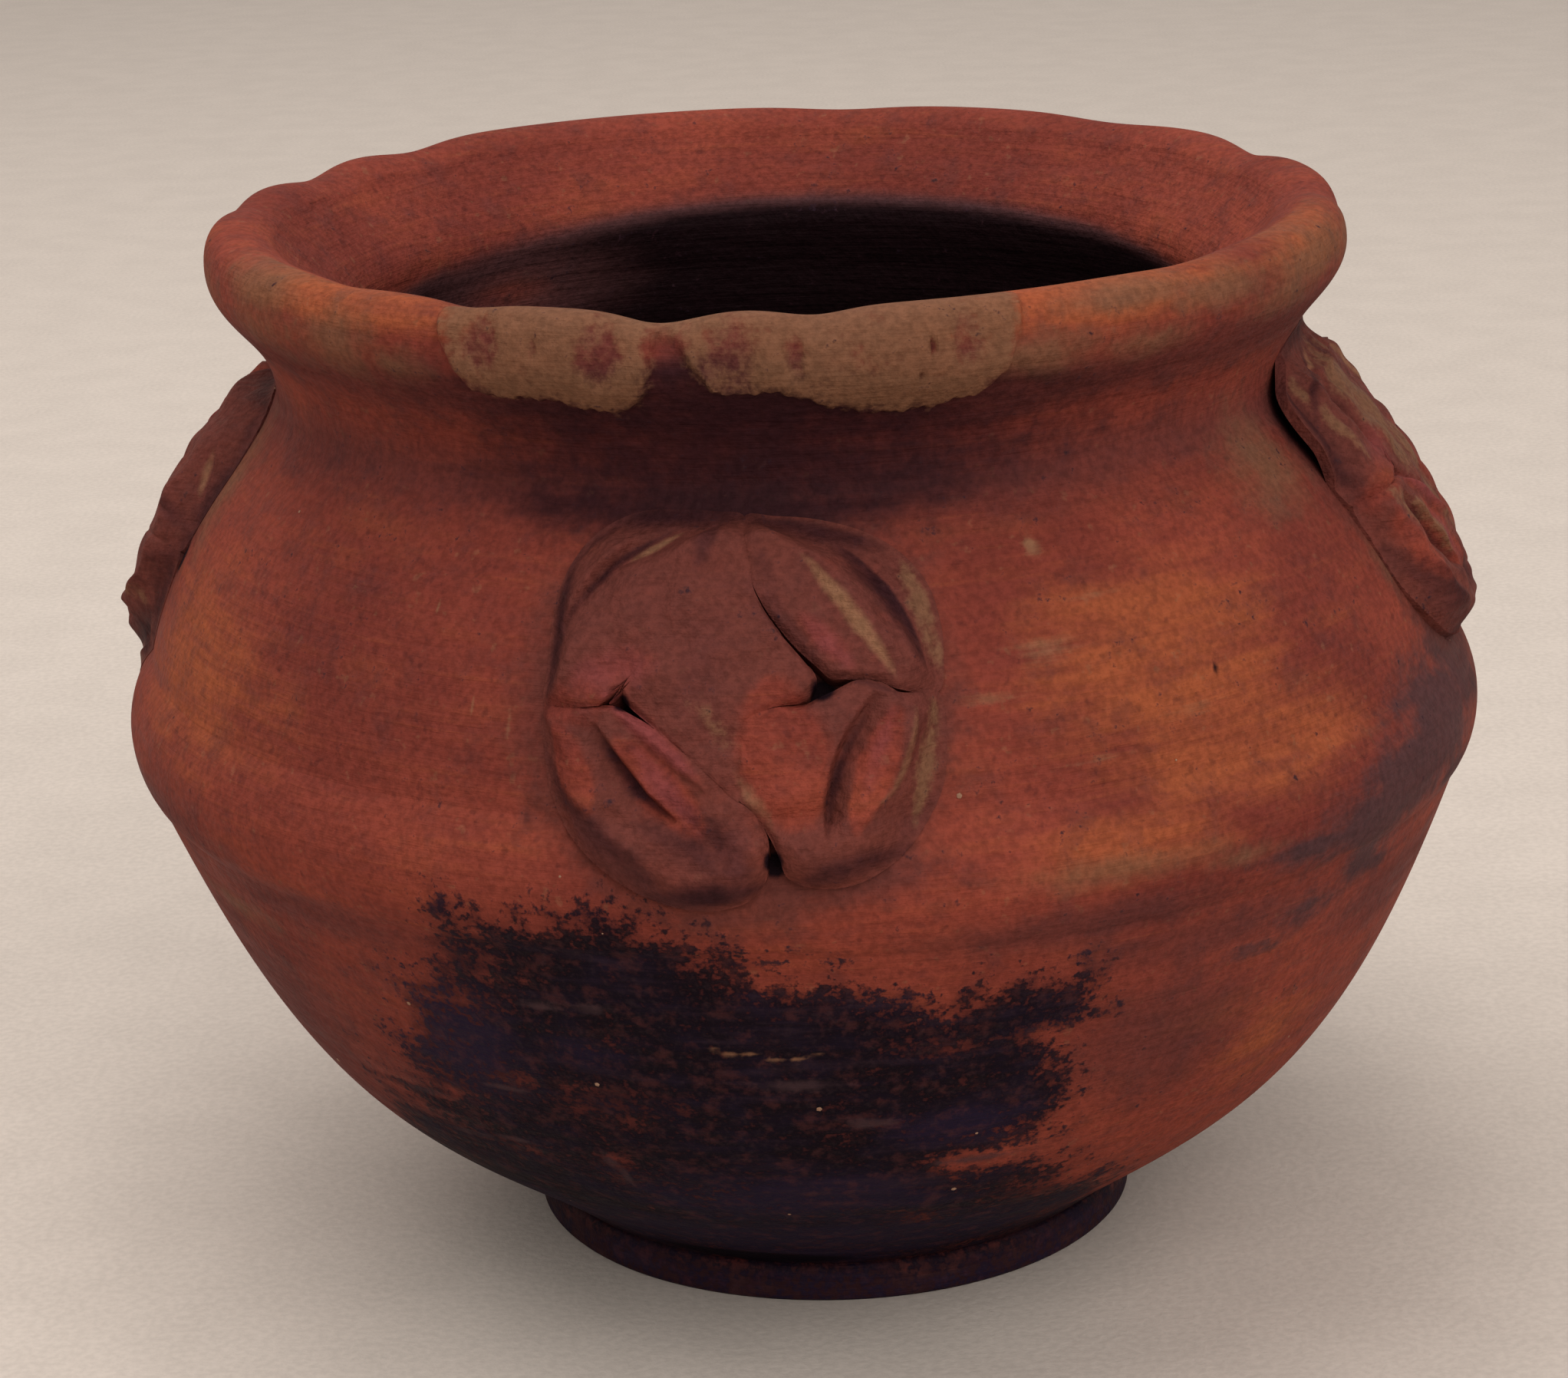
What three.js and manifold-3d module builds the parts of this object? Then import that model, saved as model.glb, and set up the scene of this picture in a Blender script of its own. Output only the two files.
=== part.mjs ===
// Hand-built pottery bowl: a foot pad, a base slab, four wall coils, a neck collar, a rolled lip
// and four rosettes of four clay pellets, luted on to the wall one by one.
// Millimetres, +Z up. The origin lies on the resting plane under the foot, and the front faces -Y.
import * as THREE from 'three';
import { mergeVertices } from 'three/addons/utils/BufferGeometryUtils.js';
import Module from 'manifold-3d';

const wasm = await Module();
wasm.setup();

// Heights, stacked from the foot up
const FOOT_HEIGHT = 5;
const BASE_WALL_RISE = 11;
const LOWER_COIL_HEIGHT = 24;
const MIDDLE_COIL_HEIGHT = 22.5;
const RIDGE_HEIGHT = 6.5;
const RIDGE_TOP_HEIGHT = 8.5;
const SHOULDER_HEIGHT = 33;
const COLLAR_DROP = 4.5;
const COLLAR_RISE = 7.5;
const THROAT_RISE = 8;
const LIP_RISE = 15.5;
const CREST_RISE = 5;
const FLOOR_THICKNESS = 8;

// Radii of the outside
const FOOT_RADIUS = 39;
const FOOT_ROUNDING = 1.5;
const FOOT_WAIST_RADIUS = 38.4;
const BELLY_RADIUS = 85;
const RIDGE_PROUD = 2.2;
const RIDGE_TOP_INSET = 3.6;
const NECK_RADIUS = 62.8;
const LIP_RADIUS = 69.9;

// The inside
const WALL_THICKNESS = 8;
const FLOOR_RADIUS = 30;
const THROAT_RADIUS = 53;
const LIP_THICKNESS = 8.4;
const CREST_INSET = 4;
const FLARE_DROP = 1.8;

// The axis leans a little to the left, and the rim stands lower at the front
const LEAN = -0.031;
const RIM_TILT = 1.2;

// Finger presses round the lip: azimuth and half width in degrees, depth in millimetres
const RIM_PRESSES = [
  { azimuth: -133, halfWidth: 6, depth: 0.9 },
  { azimuth: -115, halfWidth: 6, depth: 1.1 },
  { azimuth: -29, halfWidth: 6, depth: 0.5 },
  { azimuth: -12, halfWidth: 5, depth: 1.3 },
  { azimuth: 4.5, halfWidth: 7, depth: 0.6 },
  { azimuth: 86, halfWidth: 5, depth: 0.9 },
  { azimuth: 111, halfWidth: 6, depth: 1.1 },
  { azimuth: 136, halfWidth: 8, depth: 0.6 },
];
const PRESS_INWARD = 0.6;

// Pellets lie on the wall, clear of it and of each other by the slip that joins them
const SLIP_CLEARANCE = 0.3;
const PELLET_HEIGHT = 6;
const PELLET_EDGE = 0.8;
const PELLET_DOME = 2.6;
const SLIT_WIDTH = 1.5;
const SLIT_DEPTH = 2.4;
const SLIT_BEND = 2;

// One rosette, in its own plane: across and up from its centre, seen from outside, in shares of
// the rosette's radius, with turns in degrees and heights in shares of the pellet height
const ROSETTE_RADIUS = 21;
const ROSETTE_PELLETS = [
  { name: 'broad', across: -0.36, up: 0.33, halfLength: 0.69, halfWidth: 0.6, turn: 45, height: 0.93,
    slit: { across: -0.6, up: 0.66, halfLength: 0.4, turn: 44, bend: 0.7 } },
  { name: 'small', across: 0.58, up: 0.44, halfLength: 0.55, halfWidth: 0.45, turn: -55, height: 0.85,
    slit: { across: 0.77, up: 0.58, halfLength: 0.3, turn: -50, bend: 0.8 } },
  { name: 'full', across: -0.4, up: -0.5, halfLength: 0.62, halfWidth: 0.5, turn: -35, height: 1,
    slit: { across: -0.47, up: -0.38, halfLength: 0.3, turn: -58, bend: 0.3 } },
  { name: 'slim', across: 0.5, up: -0.43, halfLength: 0.55, halfWidth: 0.47, turn: 60, height: 0.9,
    slit: { across: 0.53, up: -0.36, halfLength: 0.33, turn: 77, bend: -1.2 } },
];

// Rosettes round the shoulder: azimuth of the centre, its place up the shoulder from the belly
// line to the neck, and its turn
const ROSETTES = [
  { name: 'front', azimuth: -5.5, place: 0.46, turn: 0 },
  { name: 'right', azimuth: 81, place: 0.65, turn: 0 },
  { name: 'back', azimuth: 175, place: 0.55, turn: 90 },
  { name: 'left', azimuth: -98, place: 0.55, turn: -90 },
];

// Fineness of the faceted surfaces
const WALL_SEGMENTS = 56;
const LIP_SEGMENTS = 72;
const PELLET_SEGMENTS = 16;
const PELLET_RINGS = 3;
const SLIT_STEPS = 6;
const CURVE_SAMPLES = 32;
const NORMAL_REACH = 3;
const MERGE_DISTANCE = 1e-4;

// Levels that the pieces share
const footTop = FOOT_HEIGHT;
const baseTop = footTop + BASE_WALL_RISE;
const lowerCoilTop = baseTop + LOWER_COIL_HEIGHT;
const creaseHeight = lowerCoilTop + MIDDLE_COIL_HEIGHT;
const bellyHeight = creaseHeight + RIDGE_HEIGHT;
const ridgeTop = bellyHeight + RIDGE_TOP_HEIGHT;
const neckHeight = ridgeTop + SHOULDER_HEIGHT;
const collarBottom = neckHeight - COLLAR_DROP;
const collarTop = neckHeight + COLLAR_RISE;
const throatHeight = neckHeight + THROAT_RISE;
const lipHeight = neckHeight + LIP_RISE;
const crestHeight = lipHeight + CREST_RISE;
const floorTop = footTop + FLOOR_THICKNESS;
const crestRadius = LIP_RADIUS - CREST_INSET;
const flareRadius = LIP_RADIUS - LIP_THICKNESS;

const clay = new THREE.MeshStandardMaterial({ color: 0x8f4226, roughness: 0.78, metalness: 0 });
const dustyClay = new THREE.MeshStandardMaterial({ color: 0x7d4a3c, roughness: 0.85, metalness: 0 });
const sootedClay = new THREE.MeshStandardMaterial({ color: 0x2b1c1c, roughness: 0.7, metalness: 0 });
const buffClay = new THREE.MeshStandardMaterial({ color: 0x84602f, roughness: 0.9, metalness: 0 });

function section(radius, height) {
  return new THREE.Vector2(radius, height);
}

// A curve that leaves its start and arrives at its end along shares of its own run and rise
function climb(start, end, leave, arrive) {
  const span = end.clone().sub(start);
  const startHandle = start.clone().add(section(span.x * leave[0], span.y * leave[1]));
  const endHandle = end.clone().sub(section(span.x * arrive[0], span.y * arrive[1]));
  return new THREE.CubicBezierCurve(start, startHandle, endHandle, end);
}

function rounded(start, corner, end) {
  return new THREE.QuadraticBezierCurve(start, corner, end);
}

// The section of the outside, as curves that climb from the foot's waist to the lip
const waist = section(FOOT_WAIST_RADIUS, footTop);
const crease = section(BELLY_RADIUS - RIDGE_PROUD, creaseHeight);
const belly = section(BELLY_RADIUS, bellyHeight);
const shoulderStart = section(BELLY_RADIUS - RIDGE_TOP_INSET, ridgeTop);
const neck = section(NECK_RADIUS, neckHeight);
const lip = section(LIP_RADIUS, lipHeight);
const outerCurves = [
  climb(waist, crease, [0.43, 0.28], [0.35, 0.75]),
  rounded(crease, section(BELLY_RADIUS, creaseHeight + RIDGE_HEIGHT * 0.35), belly),
  rounded(belly, section(BELLY_RADIUS, bellyHeight + RIDGE_TOP_HEIGHT * 0.5), shoulderStart),
  climb(shoulderStart, neck, [0.32, 0.63], [0, 0.15]),
  climb(neck, lip, [0, 0.52], [0, 0.39]),
];

// The section of the inside, as curves that climb from the floor to the lip's inner edge. The
// throat is the lower edge of the flare, which overhangs the neck.
const floorEdge = section(FLOOR_RADIUS, floorTop);
const innerBelly = section(BELLY_RADIUS - WALL_THICKNESS, bellyHeight);
const innerNeck = section(NECK_RADIUS - WALL_THICKNESS, neckHeight);
const throat = section(THROAT_RADIUS, throatHeight);
const flareTop = section(flareRadius, crestHeight - FLARE_DROP);
const innerCurves = [
  climb(floorEdge, innerBelly, [0.5, 0.05], [0.19, 0.48]),
  climb(innerBelly, innerNeck, [0.3, 0.65], [0.1, 0.4]),
  climb(innerNeck, throat, [0.2, 0.35], [0, 0.35]),
  climb(throat, flareTop, [0.05, 0.35], [0.4, 0.4]),
];

function samples(curves) {
  return curves.flatMap((curve) => curve.getPoints(CURVE_SAMPLES));
}

const outerSection = samples(outerCurves);
const innerSection = samples(innerCurves);

// The radius of a sampled section at one height
function radiusAt(points, height) {
  const last = points.length - 1;
  const next = points.findIndex((point) => point.y > height);
  const above = next < 0 ? last : Math.max(next, 1);
  const low = points[above - 1];
  const high = points[above];
  const share = (height - low.y) / Math.max(high.y - low.y, Number.EPSILON);
  return THREE.MathUtils.lerp(low.x, high.x, THREE.MathUtils.clamp(share, 0, 1));
}

// Points of a section between two heights, evenly spaced
function stretch(points, from, to, steps) {
  return Array.from({ length: steps + 1 }, (_, step) => {
    const height = THREE.MathUtils.lerp(from, to, step / steps);
    return section(radiusAt(points, height), height);
  });
}

function leanAt(height) {
  return LEAN * (height - bellyHeight);
}

// How far the finger presses sink the lip at one azimuth, in radians
function pressAt(azimuth) {
  return RIM_PRESSES.reduce((depth, press) => {
    const apart = azimuth - THREE.MathUtils.degToRad(press.azimuth);
    const wrapped = Math.atan2(Math.sin(apart), Math.cos(apart));
    const share = wrapped / THREE.MathUtils.degToRad(press.halfWidth);
    return depth + press.depth * Math.exp(-share * share);
  }, 0);
}

// Leans a turned ring, and tilts and presses what lies above the collar
function handShape(geometry) {
  const position = geometry.attributes.position;
  const point = new THREE.Vector3();
  for (let i = 0; i < position.count; i += 1) {
    point.fromBufferAttribute(position, i);
    const azimuth = Math.atan2(point.x, -point.y);
    const radius = Math.hypot(point.x, point.y);
    const share = THREE.MathUtils.smoothstep(point.z, collarTop, crestHeight);
    const press = pressAt(azimuth) * share;
    const out = radius - press * PRESS_INWARD * (radius > crestRadius ? 1 : 0);
    const height = point.z - press - RIM_TILT * Math.cos(azimuth) * share;
    position.setXYZ(i, out * Math.sin(azimuth) + leanAt(height), -out * Math.cos(azimuth), height);
  }
  return geometry;
}

// Joins equal vertices and leaves out the triangles that have shrunk to a line
function sealed(geometry) {
  geometry.deleteAttribute('normal');
  geometry.deleteAttribute('uv');
  const merged = mergeVertices(geometry, MERGE_DISTANCE);
  const index = merged.index.array;
  const kept = [];
  for (let i = 0; i < index.length; i += 3) {
    const [a, b, c] = index.slice(i, i + 3);
    if (a !== b && b !== c && c !== a) kept.push(a, b, c);
  }
  merged.setIndex(kept);
  merged.computeVertexNormals();
  return merged;
}

// A ring or disc turned from an outline of section points, clockwise from its lower inner end
function turned(outline, segments) {
  const geometry = new THREE.LatheGeometry(outline, segments);
  geometry.rotateX(Math.PI / 2);
  return sealed(handShape(geometry));
}

function wallRing(from, to, outerSteps, innerSteps) {
  const inside = stretch(innerSection, to, from, innerSteps);
  const outside = stretch(outerSection, from, to, outerSteps);
  return turned([...outside, ...inside, outside[0]], WALL_SEGMENTS);
}

function footPad() {
  const rounding = rounded(
    section(FOOT_RADIUS, footTop - FOOT_ROUNDING),
    section(FOOT_RADIUS, footTop),
    section(FOOT_RADIUS - FOOT_ROUNDING, footTop),
  );
  const outline = [
    section(0, 0),
    section(FOOT_RADIUS - FOOT_ROUNDING / 2, 0),
    section(FOOT_RADIUS, FOOT_ROUNDING / 2),
    ...rounding.getPoints(3),
    section(0, footTop),
  ];
  return turned(outline, WALL_SEGMENTS);
}

function baseSlab() {
  const outside = stretch(outerSection, footTop, baseTop, 4);
  const inside = stretch(innerSection, baseTop, floorTop, 2);
  return turned([section(0, footTop), ...outside, ...inside, section(0, floorTop)], WALL_SEGMENTS);
}

function rimLip() {
  const crest = section(crestRadius, crestHeight);
  const outside = stretch(outerSection, collarTop, lipHeight, 3);
  const roll = rounded(lip, section(LIP_RADIUS, crestHeight), crest).getPoints(4);
  const innerCorner = section((crestRadius + flareRadius) / 2, crestHeight);
  const innerRoll = rounded(crest, innerCorner, flareTop).getPoints(2);
  const inside = stretch(innerSection, flareTop.y, collarTop, 6);
  const outline = [...outside, ...roll.slice(1), ...innerRoll.slice(1), ...inside.slice(1), outside[0]];
  return turned(outline, LIP_SEGMENTS);
}

// A point on the outer wall, raised along the wall's normal
function wallPoint(height, azimuth, proud) {
  const radius = radiusAt(outerSection, height);
  const below = radiusAt(outerSection, height - NORMAL_REACH);
  const above = radiusAt(outerSection, height + NORMAL_REACH);
  const normal = section(2 * NORMAL_REACH, below - above).normalize();
  const out = radius + proud * normal.x;
  const up = height + proud * normal.y;
  return new THREE.Vector3(out * Math.sin(azimuth) + leanAt(up), -out * Math.cos(azimuth), up);
}

// The place on the wall of a point in a rosette's own plane, in shares of its radius
function rosettePoint(rosette, across, up, proud) {
  const centre = THREE.MathUtils.lerp(bellyHeight, neckHeight, rosette.place);
  const below = radiusAt(outerSection, centre - ROSETTE_RADIUS);
  const above = radiusAt(outerSection, centre + ROSETTE_RADIUS);
  const steepness = 2 * ROSETTE_RADIUS / Math.hypot(2 * ROSETTE_RADIUS, above - below);
  const turn = THREE.MathUtils.degToRad(rosette.turn);
  const flat = section(across, up).rotateAround(section(0, 0), turn).multiplyScalar(ROSETTE_RADIUS);
  const height = centre + flat.y * steepness;
  const azimuth = THREE.MathUtils.degToRad(rosette.azimuth) + flat.x / radiusAt(outerSection, height);
  return wallPoint(height, azimuth, proud);
}

// How far a pellet reaches from its centre in one direction, in shares of the rosette's radius:
// its oval, cut short half way to each neighbour
function pelletReach(pellet, direction) {
  const angle = direction - THREE.MathUtils.degToRad(pellet.turn);
  const oval = 1 / Math.hypot(Math.cos(angle) / pellet.halfLength, Math.sin(angle) / pellet.halfWidth);
  const towards = section(Math.cos(direction), Math.sin(direction));
  return ROSETTE_PELLETS.filter((other) => other !== pellet).reduce((reach, other) => {
    const apart = section(other.across - pellet.across, other.up - pellet.up);
    const half = (apart.length() - SLIP_CLEARANCE / ROSETTE_RADIUS) / 2;
    const facing = apart.normalize().dot(towards);
    return facing > 0 ? Math.min(reach, half / facing) : reach;
  }, oval);
}

// A closed surface of rings of points, from a first pole to a last
function ringedSolid(firstPole, rings, lastPole) {
  const count = rings[0].length;
  const points = [firstPole, ...rings.flat(), lastPole];
  const triangles = [];
  for (let i = 0; i < count; i += 1) {
    const next = (i + 1) % count;
    triangles.push(0, 1 + next, 1 + i);
    for (let ring = 0; ring + 1 < rings.length; ring += 1) {
      const low = 1 + ring * count;
      const high = low + count;
      triangles.push(low + i, low + next, high + next, low + i, high + next, high + i);
    }
    const end = 1 + (rings.length - 1) * count;
    triangles.push(end + i, end + next, points.length - 1);
  }
  const geometry = new THREE.BufferGeometry().setFromPoints(points);
  geometry.setIndex(triangles);
  return geometry;
}

function solid(geometry) {
  const vertProperties = Float32Array.from(geometry.attributes.position.array);
  const triVerts = Uint32Array.from(geometry.index.array);
  return new wasm.Manifold(new wasm.Mesh({ numProp: 3, vertProperties, triVerts }));
}

function geometryOf(body) {
  const mesh = body.getMesh();
  const geometry = new THREE.BufferGeometry();
  geometry.setAttribute('position', new THREE.BufferAttribute(mesh.vertProperties, 3));
  geometry.setIndex(new THREE.BufferAttribute(mesh.triVerts, 1));
  geometry.computeVertexNormals();
  return geometry;
}

// A pellet before its slit: an underside that follows the wall, a short edge and a dome
function pelletBlank(rosette, pellet) {
  const place = (across, up, proud) => rosettePoint(rosette, across, up, SLIP_CLEARANCE + proud);
  const ring = (share, proud) => Array.from({ length: PELLET_SEGMENTS }, (_, i) => {
    const direction = 2 * Math.PI * i / PELLET_SEGMENTS;
    const reach = pelletReach(pellet, direction) * share;
    return place(pellet.across + reach * Math.cos(direction), pellet.up + reach * Math.sin(direction), proud);
  });
  const rise = PELLET_HEIGHT * pellet.height - PELLET_EDGE;
  const dome = (share) => PELLET_EDGE + rise * (1 - share ** PELLET_DOME) ** (1 / PELLET_DOME);
  const shares = Array.from({ length: PELLET_RINGS }, (_, i) => {
    return Math.sin(Math.PI / 2 * (i + 1) / (PELLET_RINGS + 1));
  });
  const underside = [ring(0.5, 0), ring(1, 0)];
  const top = [ring(1, PELLET_EDGE), ...shares.reverse().map((share) => ring(share, dome(share)))];
  const bottomPole = place(pellet.across, pellet.up, 0);
  const topPole = place(pellet.across, pellet.up, dome(0));
  return solid(ringedSolid(bottomPole, [...underside, ...top], topPole));
}

// The crescent that the potter's tool presses into a pellet, bent away from the rosette's middle
// or, where its bend is less than nothing, towards it
function slitCutter(rosette, pellet) {
  const { slit } = pellet;
  const surface = SLIP_CLEARANCE + PELLET_HEIGHT * pellet.height;
  const floor = surface - SLIT_DEPTH;
  const roof = surface + SLIT_DEPTH;
  const along = section(1, 0).rotateAround(section(0, 0), THREE.MathUtils.degToRad(slit.turn));
  const aside = section(-along.y, along.x);
  const outward = Math.sign(aside.dot(section(slit.across, slit.up)));
  const corner = (share, side, proud) => {
    const bulge = SLIT_BEND * slit.bend * outward * (0.5 - share * share);
    const edge = side * SLIT_WIDTH / 2 * (1 - share * share);
    const reach = share * slit.halfLength;
    const shift = (bulge + edge) / ROSETTE_RADIUS;
    const across = slit.across + along.x * reach + aside.x * shift;
    const up = slit.up + along.y * reach + aside.y * shift;
    return rosettePoint(rosette, across, up, proud);
  };
  const rings = Array.from({ length: SLIT_STEPS - 1 }, (_, step) => {
    const share = 2 * (step + 1) / SLIT_STEPS - 1;
    return [[-1, floor], [1, floor], [1, roof], [-1, roof]].map(([side, proud]) => corner(share, side, proud));
  });
  return solid(ringedSolid(corner(-1, 0, surface), rings, corner(1, 0, surface)));
}

function pelletGeometry(rosette, pellet) {
  return geometryOf(pelletBlank(rosette, pellet).subtract(slitCutter(rosette, pellet)));
}

function piece(name, geometry, material) {
  const mesh = new THREE.Mesh(geometry, material);
  mesh.name = name;
  return mesh;
}

const bowl = new THREE.Group();
bowl.add(
  piece('foot_pad', footPad(), sootedClay),
  piece('base_slab', baseSlab(), sootedClay),
  piece('lower_coil', wallRing(baseTop, lowerCoilTop, 5, 4), clay),
  piece('middle_coil', wallRing(lowerCoilTop, creaseHeight, 4, 3), clay),
  piece('ridge_coil', wallRing(creaseHeight, ridgeTop, 6, 3), clay),
  piece('shoulder_coil', wallRing(ridgeTop, collarBottom, 7, 6), clay),
  piece('neck_collar', wallRing(collarBottom, collarTop, 5, 5), clay),
  piece('rim_lip', rimLip(), buffClay),
);
for (const rosette of ROSETTES) {
  const group = new THREE.Group();
  for (const pellet of ROSETTE_PELLETS) {
    group.add(piece(`pellet_${rosette.name}_${pellet.name}`, pelletGeometry(rosette, pellet), dustyClay));
  }
  bowl.add(group);
}

export default bowl;
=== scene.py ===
import math

import bpy
import numpy as np
from mathutils import Matrix, Vector


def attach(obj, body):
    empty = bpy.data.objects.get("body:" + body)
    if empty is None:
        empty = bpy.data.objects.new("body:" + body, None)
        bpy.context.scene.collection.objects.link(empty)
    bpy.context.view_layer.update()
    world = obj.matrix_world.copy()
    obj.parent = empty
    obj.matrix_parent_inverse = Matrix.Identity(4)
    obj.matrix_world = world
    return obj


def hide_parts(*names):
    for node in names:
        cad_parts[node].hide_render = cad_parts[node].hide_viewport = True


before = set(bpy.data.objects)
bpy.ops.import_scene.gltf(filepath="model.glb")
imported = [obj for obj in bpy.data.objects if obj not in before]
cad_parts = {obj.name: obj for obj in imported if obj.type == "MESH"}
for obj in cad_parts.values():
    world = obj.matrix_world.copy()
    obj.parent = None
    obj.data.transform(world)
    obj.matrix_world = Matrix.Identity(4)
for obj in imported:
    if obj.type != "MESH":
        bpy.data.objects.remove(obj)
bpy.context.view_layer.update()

bl_info = {
    "name": "Hand-built pottery bowl",
    "version": (1, 0, 0),
    "blender": (4, 5, 0),
    "location": "View3D > Sidebar > Pottery bowl",
    "description": "Coil-built clay bowl with a pinched lip, four pellet rosettes and kiln soot",
    "category": "Add Mesh",
}

# The drawing below is in millimetres, and the meshes are in metres
MM = 0.001

# Levels of the turned section
FOOT_TOP = 5.0
BASE_TOP = 16.0
FLOOR_TOP = 13.0
LOWER_COIL_TOP = 40.0
CREASE_HEIGHT = 62.5
BELLY_HEIGHT = 69.0
RIDGE_TOP = 77.5
COLLAR_BOTTOM = 106.0
NECK_HEIGHT = 110.5
COLLAR_TOP = 118.0
THROAT_HEIGHT = 118.5
LIP_HEIGHT = 126.0
CREST_HEIGHT = 131.0

# Radii of the turned section, and how far its lesser points stand off the main ones
FOOT_RADIUS = 39.0
FOOT_ROUNDING = 1.5
GROOVE_RADIUS = 38.4
FLOOR_RADIUS = 30.0
BELLY_RADIUS = 85.0
CREASE_DEPTH = 2.2
RIDGE_INSET = 3.6
NECK_RADIUS = 62.8
THROAT_RADIUS = 53.0
LIP_RADIUS = 69.9
CREST_RADIUS = 65.9
FLARE_RADIUS = 61.5
FLARE_DROP = 1.8
WALL_THICKNESS = 8.0

CURVE_SAMPLES = 160


def curve(*handles):
    """A Bezier curve of two or more handles as a row of points."""
    points = np.array(handles, float)[:, None, :]
    share = np.linspace(0.0, 1.0, CURVE_SAMPLES)[:, None]
    while len(points) > 1:
        points = points[:-1] * (1.0 - share) + points[1:] * share
    return points[0]


def climb(start, end, leave, arrive):
    """A curve that leaves its start and arrives at its end along shares of its own run and rise."""
    start = np.array(start, float)
    end = np.array(end, float)
    span = end - start
    return curve(start, start + span * leave, end - span * arrive, end)


crease = (BELLY_RADIUS - CREASE_DEPTH, CREASE_HEIGHT)
under_belly = (BELLY_RADIUS, 64.8)
belly = (BELLY_RADIUS, BELLY_HEIGHT)
over_belly = (BELLY_RADIUS, 73.2)
ridge_top = (BELLY_RADIUS - RIDGE_INSET, RIDGE_TOP)
neck = (NECK_RADIUS, NECK_HEIGHT)
lip = (LIP_RADIUS, LIP_HEIGHT)
crest = (CREST_RADIUS, CREST_HEIGHT)
inner_belly = (BELLY_RADIUS - WALL_THICKNESS, BELLY_HEIGHT)
inner_neck = (NECK_RADIUS - WALL_THICKNESS, NECK_HEIGHT)
throat = (THROAT_RADIUS, THROAT_HEIGHT)
flare_top = (FLARE_RADIUS, CREST_HEIGHT - FLARE_DROP)

OUTSIDE = np.vstack(
    (
        climb((GROOVE_RADIUS, FOOT_TOP), crease, (0.43, 0.28), (0.35, 0.75)),
        curve(crease, under_belly, belly),
        curve(belly, over_belly, ridge_top),
        climb(ridge_top, neck, (0.32, 0.63), (0.0, 0.15)),
        climb(neck, lip, (0.0, 0.52), (0.0, 0.39)),
    )
)
INSIDE = np.vstack(
    (
        climb((FLOOR_RADIUS, FLOOR_TOP), inner_belly, (0.5, 0.05), (0.19, 0.48)),
        climb(inner_belly, inner_neck, (0.3, 0.65), (0.1, 0.4)),
        climb(inner_neck, throat, (0.2, 0.35), (0.0, 0.35)),
        climb(throat, flare_top, (0.05, 0.35), (0.4, 0.4)),
    )
)
LIP_ROLL = curve(lip, (LIP_RADIUS, CREST_HEIGHT), crest)
INNER_ROLL = curve(crest, ((CREST_RADIUS + FLARE_RADIUS) / 2, CREST_HEIGHT), flare_top)

# Finger presses round the lip: azimuth and half width in degrees, and depth
RIM_PRESSES = (
    (-133, 6, 0.9), (-115, 6, 1.1), (-97, 5, 0.6), (-48, 5, 0.4), (-31, 4, 0.7), (-11, 4.5, 1.5),
    (3.5, 4, 0.8), (44, 7, 0.4), (86, 5, 0.9), (111, 6, 1.1), (136, 8, 0.6), (171, 7, 0.5),
)

# The edge of the worn clay on the front of the lip, from its upper left corner: azimuth and height
WORN_EDGE = (
    (-34, 140), (-32.4, 130), (-30.4, 124), (-29.2, 121.6), (-27.5, 120.6), (-22, 120.7),
    (-17, 119.2), (-13.8, 119.6), (-12.2, 122.4), (-11.4, 126), (-11.1, 129.6), (-9.2, 129.6),
    (-7.9, 126), (-6.2, 122.4), (-4.6, 121.5), (-2.2, 122), (0.2, 121.8), (3.8, 119.8),
    (8.8, 118.3), (13.8, 118.8), (18.6, 120.2), (20.4, 123), (21.4, 127), (22.6, 131), (24, 140),
)

# Fingertip facets in the worn clay: azimuth, height, half width, half height, and a peak below 1 if faint
LIP_FACETS = (
    (-27.2, 127.3, 2.8, 4.4),
    (-22.0, 127.6, 1.5, 4.2, 0.6),
    (-16.0, 126.7, 3.4, 5.0),
    (-4.4, 126.4, 3.8, 5.4),
    (1.3, 126.6, 1.7, 5.2, 0.8),
    (16.6, 127.4, 2.2, 4.2),
    (12.3, 123.3, 0.7, 1.4, 0.6),
    (13.3, 126.8, 0.4, 1.4),
)

# Thin bare clay, and one painted sheen low on the left of the belly, as marks: azimuth and height of the
# middle, half width, half height, and a peak if faint
CLAY_TINGES = (
    (-45, 125.5, 8, 6.0),
    (-58, 129, 12, 4.5),
    (-10, 131, 6, 2.4),
    (24, 124.0, 8, 4.5),
    (34, 129.5, 12, 2.4),
    (46, 128.0, 12, 3.4),
    (62, 127.6, 16, 4.6),
    (110, 127.5, 18, 3.5),
    (-110, 127.0, 16, 4.0),
    (-150, 128.0, 20, 3.0),
    (-38, 123.5, 10, 5.0, 0.7),
    (-56, 124.5, 16, 7.0, 0.75),
    (-78, 125.5, 18, 6.0, 0.75),
    (36, 123.5, 12, 4.5, 0.7),
    (56, 125.5, 18, 6.0, 0.7),
    (76, 127.0, 16, 6.0, 0.8),
    (-78, 101, 7, 14, 0.8),
    (56, 104, 12, 12, 0.7),
    (66, 92, 8, 10, 0.5),
    (24, 69.8, 15, 3.0, 0.8),
    (34, 68.2, 8, 2.2, 0.7),
    # A painted sheen low on the left of the belly
    (-58, 56.5, 20, 4.0, 0.6),
)
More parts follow.
